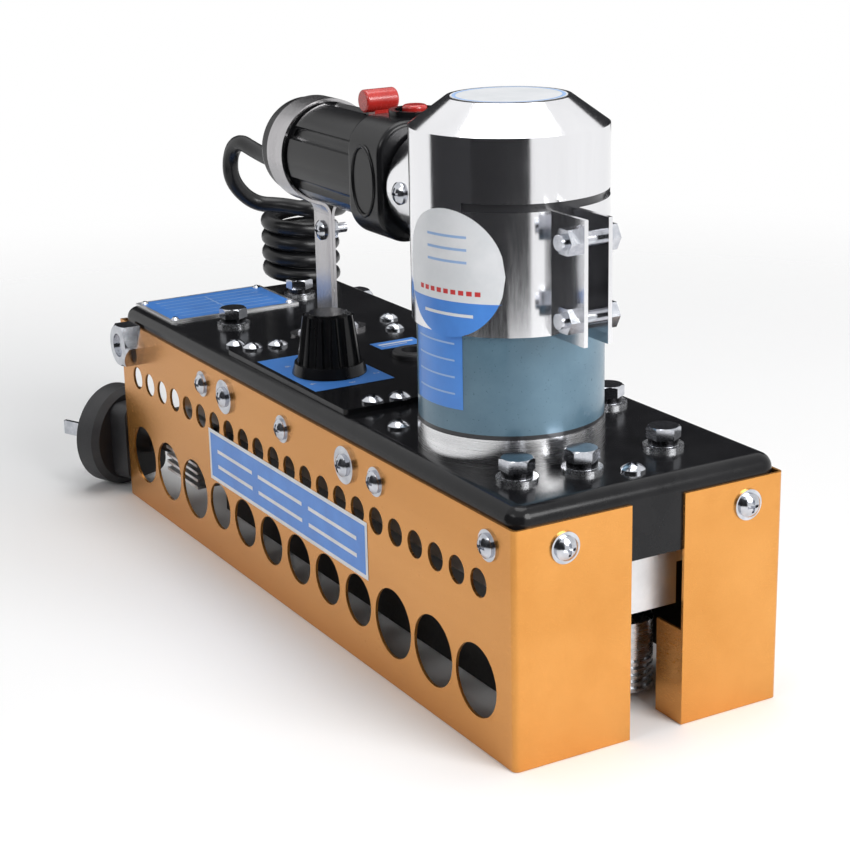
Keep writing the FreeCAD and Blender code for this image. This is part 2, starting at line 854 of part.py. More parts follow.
def knob():
    bottom = panel_top + knob_gap
    skirt_top = bottom + knob_skirt
    top = bottom + knob_height
    skirt = Part.makeCone(knob_skirt_diameter / 2, (knob_lower_diameter + knob_skirt_diameter) / 4,
                          knob_skirt, V(knob_x, knob_y, bottom))
    body = Part.makeCone(knob_lower_diameter / 2, knob_upper_diameter / 2, top - skirt_top,
                         V(knob_x, knob_y, skirt_top))
    for k in range(knob_flutes):
        angle = 2 * math.pi * k / knob_flutes
        out = knob_flute_diameter / 2 - knob_flute_depth
        low = knob_lower_diameter / 2 + out
        high = knob_upper_diameter / 2 + out
        start = V(knob_x + low * math.cos(angle), knob_y + low * math.sin(angle), skirt_top)
        end = V(knob_x + high * math.cos(angle), knob_y + high * math.sin(angle), top)
        length = (end - start).Length
        body = body.cut(Part.makeCylinder(knob_flute_diameter / 2, 2 * length, start, end - start))
    body = body.fuse(rod(knob_x, knob_y, top, top + knob_cap_rise, knob_cap_diameter / 2))
    body = body.fuse(skirt)
    bore = rod(knob_x, knob_y, bottom, bottom + knob_bore_depth, knob_shaft_diameter / 2)
    return body.cut(bore).removeSplitter()


def potentiometer():
    body = rod(knob_x, knob_y, plate_under - pot_height, plate_under, pot_diameter / 2)
    body = body.fuse(rod(knob_x, knob_y, plate_under, panel_top, pot_bush_diameter / 2))
    return body.cut(rod(knob_x, knob_y, plate_under - pot_height / 2, panel_top,
                        knob_shaft_diameter / 2 + running_clearance))


# Motor

def motor():
    base = rod(drive_x, motor_y, plate_top, plate_top + motor_base_height, motor_base_radius)
    bore_radius = shaft_diameter / 2 + running_clearance
    bore = rod(drive_x, motor_y, plate_top, plate_top + motor_base_height, bore_radius)
    save("motor_base", base.cut(bore))
    bottom = plate_top + motor_base_height
    save("motor_can", rod(drive_x, motor_y, bottom, motor_top, motor_radius))


def cap_profile(radius, bottom, shoulder, top, flat):
    points = [V(0, 0, bottom), V(radius, 0, bottom), V(radius, 0, shoulder), V(flat, 0, top), V(0, 0, top)]
    points.append(points[0])
    solid = Part.Face(Part.makePolygon(points)).revolve(V(0, 0, 0), Z_AXIS, 360)
    solid.translate(V(drive_x, motor_y, 0))
    return solid


def motor_cap():
    inner = motor_radius + cap_fit
    cap = cap_profile(cap_radius, cap_bottom, cap_shoulder, cap_top, cap_flat_radius)
    low = motor_y - ear_gap / 2
    high = motor_y + ear_gap / 2
    for y0, y1 in ((low - ear_wall, low), (high, high + ear_wall)):
        ear = box(drive_x, ear_end, y0, y1, cap_bottom, slit_bottom)
        for z in clamp_bolt_heights:
            ear = ear.cut(rod_y(clamp_bolt_x, z, y0, y1, clamp_bolt_diameter / 2 + screw_fit))
        cap = cap.fuse(ear)
    cap = cap.cut(box(drive_x, ear_end, low, high, cap_bottom, slit_bottom))
    start = V(drive_x, motor_y, slit_bottom)
    slit = Part.makeCylinder(2 * cap_radius, slit_height, start, Z_AXIS, 2 * slit_half_angle)
    slit.rotate(start, Z_AXIS, -slit_half_angle)
    cap = cap.cut(slit)
    hollow = cap_profile(inner, cap_bottom, cap_shoulder - cap_wall, cap_top - cap_wall,
                         cap_flat_radius - cap_wall)
    return cap.cut(hollow).removeSplitter()


def clamp_bolts():
    bolts = []
    nuts = []
    low = motor_y - ear_gap / 2 - ear_wall
    high = motor_y + ear_gap / 2 + ear_wall
    for z in clamp_bolt_heights:
        head = facing(hexagon(clamp_nut_flats, clamp_nut_wall), V(clamp_bolt_x, high, z), Y_AXIS)
        tip = low - clamp_nut_wall - clamp_bolt_tail
        bolts.append(head.fuse(rod_y(clamp_bolt_x, z, tip, high, clamp_bolt_diameter / 2)))
        nut = hexagon(clamp_nut_flats, clamp_nut_wall)
        nut = nut.cut(rod(0, 0, 0, clamp_nut_wall, clamp_bolt_diameter / 2 + screw_fit))
        nuts.append(facing(nut, V(clamp_bolt_x, low, z), V(0, -1, 0)))
    save("clamp_bolts", *bolts, *nuts)


# Handle

def handle_shells():
    # Round grip with long lobes between grooves, a squared collar and a hood round the button
    grip = rod_x(handle_y, handle_z, handle_rear, handle_front, handle_radius)
    grip = grip.makeFillet(handle_end_round, edges_at(grip, X_AXIS, handle_rear))
    groove_start = handle_rear + groove_rear_margin
    for k in range(groove_count):
        middle = handle_z + handle_radius - groove_depth + groove_radius
        groove = rod_x(handle_y, middle, groove_start, collar_rear, groove_radius)
        groove.rotate(V(0, handle_y, handle_z), X_AXIS, 360 / groove_count * k)
        grip = grip.cut(groove)
    ring = rod_x(handle_y, handle_z, groove_start - ring_groove, groove_start, 2 * handle_radius)
    grip = grip.cut(ring.cut(rod_x(handle_y, handle_z, groove_start - ring_groove, groove_start,
                                   handle_radius - ring_groove_depth)))
    collar = box(collar_rear, collar_front, handle_y - collar_half_width, handle_y + collar_half_width,
                 collar_bottom, collar_top)
    collar = collar.makeFillet(collar_corner, parallel_edges(collar, X_AXIS))
    rims = edges_at(collar, X_AXIS, collar_rear) + edges_at(collar, X_AXIS, collar_front)
    collar = collar.makeFillet(collar_edge, rims)
    hood = tube(button_x, handle_y, collar_top - hood_wall, collar_top + hood_height, hood_diameter / 2,
                hood_diameter / 2 - hood_wall)
    body = grip.fuse(collar).fuse(hood)
    cavity = rod_x(handle_y, handle_z, handle_rear + handle_wall, handle_front - handle_wall,
                   handle_radius - handle_wall)
    body = body.cut(cavity)
    reach = handle_radius - lever_pivot_rise
    slot = lever_stem_length / 2 + reach * math.tan(math.radians(lever_swing)) + lever_slot_room
    slot_half = lever_stem_width / 2 + lever_slot_room
    body = body.cut(box(lever_x - slot, lever_x + slot, handle_y - slot_half, handle_y + slot_half,
                        handle_z, collar_top))
    body = body.cut(rod(button_x, handle_y, handle_z, collar_top, button_diameter / 2 + button_clearance))
    body = body.cut(rod_x(handle_y, gland_z, handle_rear, handle_rear + handle_wall,
                          gland_neck_diameter / 2 + screw_fit))
    screw_origin = V(sleeve_screw_x, handle_y - handle_radius, handle_z)
    body = body.cut(screw_hole(screw_origin, V(0, -1, 0)))
    far = 2 * handle_radius
    left = box(handle_rear, handle_front, handle_y - far, handle_y, handle_z - far, handle_z + far)
    right = box(handle_rear, handle_front, handle_y, handle_y + far, handle_z - far, handle_z + far)
    return body.common(left), body.common(right)


def switch():
    floor = handle_z - switch_drop
    top = handle_z + switch_rise
    body = box(switch_rear, switch_front, handle_y - switch_half_width, handle_y + switch_half_width,
               floor, top)
    pivot = handle_z + lever_pivot_rise
    inner = lever_hub_width / 2 + lever_lug_gap
    for side in (-1, 1):
        near = handle_y + side * inner
        far = near + side * lever_lug_wall
        lug = box(lever_x - lever_lug_round, lever_x + lever_lug_round,
                  min(near, far), max(near, far), top, pivot)
        lug = lug.fuse(rod_y(lever_x, pivot, min(near, far), max(near, far), lever_lug_round))
        body = body.fuse(lug)
    pin_half = inner + lever_lug_wall
    body = body.cut(rod_y(lever_x, pivot, handle_y - pin_half, handle_y + pin_half, lever_pin_diameter / 2))
    save("switch_body", body.removeSplitter())
    save("lever_pin", rod_y(lever_x, pivot, handle_y - pin_half, handle_y + pin_half, lever_pin_diameter / 2))
    half_hub = lever_hub_width / 2
    lever = rod_y(lever_x, pivot, handle_y - half_hub, handle_y + half_hub, lever_hub_radius)
    bar_z = handle_z + lever_bar_rise
    lever = lever.fuse(box(lever_x - lever_stem_length / 2, lever_x + lever_stem_length / 2,
                           handle_y - lever_stem_width / 2, handle_y + lever_stem_width / 2, pivot, bar_z))
    half_bar = lever_bar_length / 2
    bar = rod_y(lever_x, bar_z, handle_y - half_bar, handle_y + half_bar, lever_bar_diameter / 2)
    bar = bar.makeFillet(lever_bar_diameter / 8, [e for e in bar.Edges if isinstance(e.Curve, Part.Circle)])
    lever = lever.fuse(bar)
    lever = lever.cut(rod_y(lever_x, pivot, handle_y - half_hub, handle_y + half_hub,
                            lever_pin_diameter / 2 + running_clearance))
    save("switch_lever", lever.removeSplitter())


def lock_button():
    room = math.sqrt((handle_radius - handle_wall) ** 2 - (button_collar_diameter / 2) ** 2)
    seat = handle_z + room - button_seat_gap
    top = collar_top + button_rise
    body = rod(button_x, handle_y, seat - button_collar, top, button_diameter / 2)
    body = body.makeFillet(button_diameter / 8, edges_at(body, Z_AXIS, top))
    collar = rod(button_x, handle_y, seat - button_collar, seat, button_collar_diameter / 2)
    return body.fuse(collar)


def strip_pieces(width, x):
    # One flat strip round the handle: ring, two bends, two legs side by side and two feet
    t = strap_wall
    ring = strap_inner + t / 2
    offset = strap_leg_gap / 2 + t / 2
    bend_drop = math.sqrt((ring + strap_bend) ** 2 - (offset + strap_bend) ** 2)
    spread = math.degrees(math.asin((offset + strap_bend) / (ring + strap_bend)))
    foot_z = plate_top + t / 2
    centre = V(x - width / 2, handle_y, handle_z)

    def turned(piece):
        return piece.mirror(V(0, handle_y, 0), Y_AXIS)

    pieces = [ring_sector(centre, ring, width, spread)]
    bend_centre = V(x - width / 2, handle_y - offset - strap_bend, handle_z - bend_drop)
    half = [annulus_piece(bend_centre, strap_bend, width, 0, 90 - spread)]
    leg_top = handle_z - bend_drop
    leg_low = foot_z + strap_foot_bend
    leg_y = handle_y - offset
    half.append(box(x - width / 2, x + width / 2, leg_y - t / 2, leg_y + t / 2, leg_low, leg_top))
    foot_centre = V(x - width / 2, handle_y - offset - strap_foot_bend, leg_low)
    half.append(annulus_piece(foot_centre, strap_foot_bend, width, -90, 0))
    end = handle_y - strap_foot
    foot = box(x - width / 2, x + width / 2, end + width / 2, leg_y - strap_foot_bend,
               plate_top, plate_top + t)
    foot = foot.fuse(rod(x, end + width / 2, plate_top, plate_top + t, width / 2))
    hole = rod(x, handle_y - foot_screw_offset, plate_top, plate_top + t, screw_diameter / 2 + screw_fit)
    foot = foot.cut(hole)
    half.append(foot)
    pieces += half + [turned(piece) for piece in half]
    return pieces


def annulus_piece(centre, radius, width, first, last):
    # Bent sheet from one angle to the next, angles from +Y towards +Z
    t = strap_wall
    points = []
    middle = (first + last) / 2
    for r, angles in ((radius + t / 2, (first, middle, last)), (radius - t / 2, (last, middle, first))):
        for angle in angles:
            a = math.radians(angle)
            points.append(centre + V(0, r * math.cos(a), r * math.sin(a)))
    edges = [
        Part.Arc(points[0], points[1], points[2]).toShape(),
        Part.makeLine(points[2], points[3]),
        Part.Arc(points[3], points[4], points[5]).toShape(),
        Part.makeLine(points[5], points[0])]
    return Part.Face(Part.Wire(edges)).extrude(V(width, 0, 0))


def ring_sector(centre, radius, width, spread):
    return annulus_piece(centre, radius, width, -90 + spread, 270 - spread)


def strap(x, width):
    pieces = strip_pieces(width, x)
    body = pieces[0].multiFuse(pieces[1:])
    reach = 2 * strap_wall
    bore = screw_diameter / 2 + screw_fit
    body = body.cut(rod_y(x, strap_bolt_z, handle_y - reach, handle_y + reach, bore))
    return body.removeSplitter()


def handle_fasteners(sleeve_screw):
    bolts = [sleeve_screw]
    nuts = []
    half = strap_leg_gap / 2 + strap_wall
    for x in (strap_rear_x, strap_front_x):
        bolt = pan_screw(2 * half + 2 * screw_diameter)
        bolts.append(facing(bolt, V(x, handle_y - half, strap_bolt_z), V(0, -1, 0)))
        nut = hexagon(clamp_nut_flats - 1, screw_diameter * 0.8)
        nut = nut.cut(rod(0, 0, 0, screw_diameter, screw_diameter / 2 + screw_fit))
        nuts.append(facing(nut, V(x, handle_y + half, strap_bolt_z), Y_AXIS))
    save("handle_fasteners", *bolts, *nuts)


def sleeve():
    inner = handle_radius + strap_fit
    outer = inner + sleeve_wall
    body = rod_x(handle_y, handle_z, sleeve_rear, sleeve_front, outer)
    body = body.cut(rod_x(handle_y, handle_z, sleeve_rear, sleeve_front, inner))
    origin = V(sleeve_screw_x, handle_y - outer, handle_z)
    save("front_sleeve", body.cut(screw_hole(origin, V(0, -1, 0))))
    return facing(pan_screw(screw_length - handle_wall), origin, V(0, -1, 0))


# Cord and plug

def gland():
    tip = handle_rear - gland_length
    body = Part.makeCone(gland_root_diameter / 2, gland_tip_diameter / 2, gland_length,
                         V(handle_rear, handle_y, gland_z), V(-1, 0, 0))
    neck = rod_x(handle_y, gland_z, handle_rear, handle_rear + handle_wall, gland_neck_diameter / 2)
    body = body.fuse(neck)
    inside = handle_rear + handle_wall
    body = body.fuse(rod_x(handle_y, gland_z, inside, inside + gland_collar, gland_collar_diameter / 2))
    return body, V(tip, handle_y, gland_z)


def hank_point(angle):
    # Angles in degrees grow along the cord; the bulge is one loose turn near the top
    first = hank_start_angle
    last = hank_exit_angle + 360 * hank_turns
    level = plate_top + cord_radius + hank_seat + hank_pitch * (last - angle) / 360
    offset = (angle - hank_bulge_angle) / hank_bulge_spread
    swell = hank_bulge * math.cos(math.pi / 2 * offset) ** 2 if abs(offset) < 1 and angle > first else 0
    radius = hank_radius + swell
    a = math.radians(angle)
    return V(hank_x + radius * math.cos(a), hank_y + radius * math.sin(a), level)


def hank_heading(angle):
    step = 0.01
    heading = hank_point(angle + step) - hank_point(angle - step)
    return heading.normalize()


def biarc(start, start_heading, end, end_heading):
    # Two arcs, tangent to the headings at both ends and to each other
    span = end - start
    total = start_heading + end_heading
    a = 2 * (1 - start_heading.dot(end_heading))
    b = span.dot(total)
    reach = (math.sqrt(b * b + a * span.dot(span)) - b) / a
    first = start + start_heading * reach
    second = end - end_heading * reach
    joint = (first + second) * 0.5
    arcs = []
    for p, q, r in ((start, first, joint), (joint, second, end)):
        middle = (p + r) * 0.5
        cosine = (r - p).Length / (2 * reach)
        arcs.append(Part.Arc(p, q + (middle - q) * (1 / (1 + cosine)), r).toShape())
    return arcs


def pipe(edges):
    wire = Part.Wire(edges)
    start = wire.Edges[0].valueAt(wire.Edges[0].FirstParameter)
    heading = wire.Edges[0].tangentAt(wire.Edges[0].FirstParameter)
    ring = Part.Wire(Part.makeCircle(cord_radius, start, heading))
    sweep = Part.BRepOffsetAPI.MakePipeShell(wire)
    sweep.add(ring)
    sweep.build()
    sweep.makeSolid()
    solid = sweep.shape()
    length = sum(edge.Length for edge in edges)
    share = solid.Volume / (math.pi * cord_radius ** 2 * length)
    return solid, length, share


def hank():
    first = hank_start_angle
    last = hank_exit_angle + 360 * hank_turns
    quarters = math.ceil((last - first) / 90)
    angles = [first + (last - first) * k / quarters for k in range(quarters + 1)]
    begin = hank_point(first) - hank_heading(first + 0.02) * cord_diameter
    edges = [Part.makeLine(begin, hank_point(first))]
    for a0, a1 in zip(angles, angles[1:]):
        heads = [hank_heading(a) for a in (a0, a1)]
        if a0 == first:
            heads[0] = hank_heading(first + 0.02)
        if a1 == last:
            heads[1] = V(-1, 0, 0)
        edges += biarc(hank_point(a0), heads[0], hank_point(a1), heads[1])
    finish = hank_point(last) + V(-cord_diameter, 0, 0)
    edges.append(Part.makeLine(hank_point(last), finish))
    return edges, begin, finish


def least_gap(edges):
    # Least distance between stretches more than half a turn apart, less one cord diameter
    points = []
    run = 0
    for edge in edges:
        count = max(2, int(edge.Length))
        for k in range(count):
            part_run = edge.Length * k / count
            points.append((run + part_run, edge.valueAt(edge.getParameterByLength(part_run))))
        run += edge.Length
    apart = math.pi * hank_radius
    least = min((p - q).Length for i, (s, p) in enumerate(points) for t, q in points[i + 1:] if t - s > apart)
    return least - cord_diameter


def route_edges(points):
    # Straight runs joined by arcs as large as the runs allow
    edges = []
    radii = []
    here = points[0]
    for before, corner, after in zip(points, points[1:], points[2:]):
        into = corner - before
        out = after - corner
        cut = 0.45 * min(into.Length, out.Length)
        turn = into.getAngle(out)
        radii.append(round(cut / math.tan(turn / 2), 1))
        into.normalize()
        out.normalize()
        start = corner - into * cut
        end = corner + out * cut
        middle = (start + end) * 0.5
        cosine = math.cos(turn / 2)
        edges.append(Part.makeLine(here, start))
        edges.append(Part.Arc(start, corner + (middle - corner) * (1 / (1 + cosine)), end).toShape())
        here = end
    edges.append(Part.makeLine(here, points[-1]))
    return edges, radii


def plug():
    turn = math.radians(plug_turn)
    inward = V(math.cos(turn), math.sin(turn), 0)
    centre = V(plug_x, plug_y, plug_radius)
    disc = rod(0, 0, -plug_wall / 2, plug_wall / 2, plug_radius)
    disc = disc.makeChamfer(plug_edge, edges_at(disc, Z_AXIS, -plug_wall / 2))
    disc = disc.makeChamfer(plug_edge, edges_at(disc, Z_AXIS, plug_wall / 2))
    grip = box(-plug_grip_half_height, plug_grip_half_height, -plug_grip_half_width, plug_grip_half_width,
               0, plug_wall / 2 + plug_grip)
    grip = grip.makeFillet(plug_grip_round, parallel_edges(grip, Z_AXIS))
    hub = Part.makeCone(plug_hub_radius, plug_tip_radius, plug_hub, V(0, 0, plug_wall / 2))
    body = disc.fuse(grip).fuse(hub).removeSplitter()
    blades = []
    for side in (-1, 1):
        y = side * blade_spacing / 2
        root = -plug_wall / 2 + blade_root
        blade = box(-blade_width / 2, blade_width / 2, y - blade_wall / 2, y + blade_wall / 2,
                    -plug_wall / 2 - blade_length, root)
        body = body.cut(blade)
        blades.append(blade)
    for piece in [body] + blades:
        piece.rotate(V(0, 0, 0), Y_AXIS, 90)
        piece.rotate(V(0, 0, 0), Z_AXIS, plug_turn)
        piece.translate(centre)
    return body, blades, centre + inward * (plug_wall / 2 + plug_hub), inward


def cord():
    relief, lead_start = gland()
    save("cord_gland", relief)
    hank_edges, hank_begin, hank_end = hank()
    hank_solid, hank_length, hank_share = pipe(hank_edges)
    save("cord_hank", hank_solid)
    lead_points = [lead_start] + [V(*p) for p in lead_route] + [hank_begin]
    heading = hank_edges[0].tangentAt(hank_edges[0].FirstParameter)
    lead_points.insert(-1, hank_begin - heading * lead_run)
    lead_edges, lead_radii = route_edges(lead_points)
    lead_solid, lead_length, lead_share = pipe(lead_edges)
    save("cord_lead", lead_solid)
    plug_solid, blades, plug_end, inward = plug()
    save("plug", plug_solid)
    save("plug_blades", *blades)
    tail_points = [hank_end] + [V(*p) for p in tail_route] + [plug_end + inward * plug_run, plug_end]
    tail_edges, tail_radii = route_edges(tail_points)
    tail_solid, tail_length, tail_share = pipe(tail_edges)
    save("cord_tail", tail_solid)
    print("lead radii", lead_radii, "tail radii", tail_radii)
    print("cord lengths", round(lead_length, 1), round(hank_length, 1), round(tail_length, 1))
    print("volume shares", round(lead_share, 4), round(hank_share, 4), round(tail_share, 4))
    print("least gap in the hank", round(least_gap(hank_edges), 2))
    print("lead points", [tuple(round(c, 2) for c in p) for p in lead_points])
    print("tail points", [tuple(round(c, 2) for c in p) for p in tail_points])


os.makedirs("parts", exist_ok=True)
save("left_cover", side_cover(-1, slot_left))
save("right_cover", side_cover(1, slot_right))
save("top_plate", top_plate())
cover_fasteners()
cross_stud()
save("carrier_plate", carrier())
carrier_fasteners(control_board())
save("shaft_bushes", drive_side("left", left_y, plate_top + motor_base_height - end_float, 90),
     drive_side("right", right_y, carrier_top + gear_gap + gear_width, -90 + 180 / gear_teeth))
save("left_idler", idler(left_y))
save("right_idler", idler(right_y))
save("left_feed_roller", feed_roller(feed_left_y))
save("right_feed_roller", feed_roller(feed_right_y))
save("roller_axles", axle(idler_x, left_y, roller_bottom), axle(idler_x, right_y, roller_bottom),
     axle(feed_x, feed_left_y, feed_bottom), axle(feed_x, feed_right_y, feed_bottom))
save("left_belt", belt(left_y))
save("right_belt", belt(right_y))
save("heating_blocks", heat_block(-1), heat_block(1))
save("heating_cartridges", cartridge(-1), cartridge(1))
save("cooling_blocks", cool_block(-1), cool_block(1))
save("block_hangers", *hangers())
save("heat_sink", heat_sink())
save("frame_plates", *frame_plates())
save("control_panel", panel())
save("plate_screws", *plate_screws())
rating_plate()
save("grommet", grommet())
save("knob", knob())
save("knob_shaft", rod(knob_x, knob_y, plate_under - pot_height / 2 + end_float,
                       panel_top + knob_gap + knob_bore_depth, knob_shaft_diameter / 2))
save("potentiometer", potentiometer())
motor()
save("motor_cap", motor_cap())
clamp_bolts()
left_shell, right_shell = handle_shells()
save("handle_left_shell", left_shell)
save("handle_right_shell", right_shell)
switch()
save("lock_button", lock_button())
save("rear_strap", strap(strap_rear_x, strap_rear_width))
save("front_strap", strap(strap_front_x, strap_front_width))
handle_fasteners(sleeve())
cord()
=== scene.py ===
import bpy
import bmesh
import math
from mathutils import Matrix, Vector


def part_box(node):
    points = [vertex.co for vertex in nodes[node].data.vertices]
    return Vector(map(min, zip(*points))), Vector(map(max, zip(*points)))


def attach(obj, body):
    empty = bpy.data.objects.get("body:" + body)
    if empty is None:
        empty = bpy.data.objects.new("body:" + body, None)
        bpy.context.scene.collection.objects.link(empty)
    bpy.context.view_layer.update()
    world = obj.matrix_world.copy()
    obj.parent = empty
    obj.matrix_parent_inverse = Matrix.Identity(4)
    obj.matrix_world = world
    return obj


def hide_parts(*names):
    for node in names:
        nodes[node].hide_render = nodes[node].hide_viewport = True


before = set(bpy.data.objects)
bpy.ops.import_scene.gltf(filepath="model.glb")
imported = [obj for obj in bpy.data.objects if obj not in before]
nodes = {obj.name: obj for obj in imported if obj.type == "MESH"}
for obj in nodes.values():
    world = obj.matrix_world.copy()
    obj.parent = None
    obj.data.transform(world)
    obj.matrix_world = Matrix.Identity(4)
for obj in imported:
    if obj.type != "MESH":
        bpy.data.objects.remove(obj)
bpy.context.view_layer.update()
scene = bpy.context.scene

cameraSetup = {
    "place": (0.62290, -0.34679, 0.28606),
    "azimuth": 60.299,   # degrees round from the left side
    "elevation": 17.337,
    "roll": -1.24,
    "focalPixels": 1959.86,
    "framePixels": 850,
    "sensor": 36.0,
}


def addCamera():
    az, el, roll = (math.radians(cameraSetup[key]) for key in ("azimuth", "elevation", "roll"))
    back = Vector((math.sin(az) * math.cos(el), -math.cos(az) * math.cos(el), math.sin(el)))
    right = Vector((0, 0, 1)).cross(back).normalized()
    up = back.cross(right)
    side = right * math.cos(roll) + up * math.sin(roll)
    top = up * math.cos(roll) - right * math.sin(roll)
    data = bpy.data.cameras.new("photoCamera")
    data.sensor_width = cameraSetup["sensor"]
    data.lens = cameraSetup["focalPixels"] * cameraSetup["sensor"] / cameraSetup["framePixels"]
    camera = bpy.data.objects.new("photoCamera", data)
    turn = Matrix((side, top, back)).transposed().to_4x4()
    camera.matrix_world = Matrix.Translation(cameraSetup["place"]) @ turn
    scene.collection.objects.link(camera)
    scene.camera = camera


addCamera()
print("camera set")


# materials

def newMaterial(name):
    material = bpy.data.materials.new(name)
    material.use_nodes = True
    tree = material.node_tree
    return material, tree, tree.nodes["Principled BSDF"]


def addNode(tree, kind, **values):
    node = tree.nodes.new(kind)
    for key, value in values.items():
        if key in node.inputs:
            node.inputs[key].default_value = value
        else:
            setattr(node, key, value)
    return node


def objectPlace(tree, stretch=(1, 1, 1)):
    place = addNode(tree, "ShaderNodeTexCoord")
    mapping = addNode(tree, "ShaderNodeMapping", Scale=stretch)
    tree.links.new(place.outputs["Object"], mapping.inputs["Vector"])
    return mapping.outputs["Vector"]


noiseLook = {"roughness": 0.6, "span": (0.3, 0.7)}   # most of the noise lies in the span


def noise(tree, vector, scale, detail):
    node = addNode(tree, "ShaderNodeTexNoise", Scale=scale, Detail=detail, Roughness=noiseLook["roughness"])
    tree.links.new(vector, node.inputs["Vector"])
    return node.outputs["Fac"]


def ramp(tree, factor, colours, spots=(0.35, 0.65)):
    node = addNode(tree, "ShaderNodeValToRGB")
    for stop, colour, spot in zip(node.color_ramp.elements, colours, spots):
        stop.color = (*colour, 1)
        stop.position = spot
    tree.links.new(factor, node.inputs["Fac"])
    return node.outputs["Color"]


def mapRange(tree, value, span, low, high, kind="LINEAR"):
    node = addNode(tree, "ShaderNodeMapRange", interpolation_type=kind)
    for key, limit in zip(("From Min", "From Max", "To Min", "To Max"), (*span, low, high)):
        node.inputs[key].default_value = limit
    tree.links.new(value, node.inputs["Value"])
    return node.outputs["Result"]


def bump(tree, shader, factor, depth, strength):
    node = addNode(tree, "ShaderNodeBump", Strength=strength, Distance=depth)
    tree.links.new(factor, node.inputs["Height"])
    tree.links.new(node.outputs["Normal"], shader.inputs["Normal"])


plainLook = {
    "stretch": (1, 1, 1),
    "broad": 40,
    "broadDetail": 4.0,
    "grain": 900,
    "grainDetail": 6.0,
    "relief": 0.00003,
    "strength": 0.3,
    "metal": 0.0,
    "shine": 0.5,
    "coat": 0.0,
    "coatRough": 0.05,
}


def finish(name, ownLook):
    # broad noise for tone, fine grain for gloss and relief
    look = {**plainLook, **ownLook}
    material, tree, shader = newMaterial(name)
    vector = objectPlace(tree, look["stretch"])
    broad = noise(tree, vector, look["broad"], look["broadDetail"])
    grain = noise(tree, vector, look["grain"], look["grainDetail"])
    tree.links.new(ramp(tree, broad, look["tones"]), shader.inputs["Base Color"])
    tree.links.new(mapRange(tree, grain, noiseLook["span"], *look["rough"]), shader.inputs["Roughness"])
    bump(tree, shader, grain, look["relief"], look["strength"])
    shader.inputs["Metallic"].default_value = look["metal"]
    shader.inputs["Specular IOR Level"].default_value = look["shine"]
    shader.inputs["Coat Weight"].default_value = look["coat"]
    shader.inputs["Coat Roughness"].default_value = look["coatRough"]
    return material


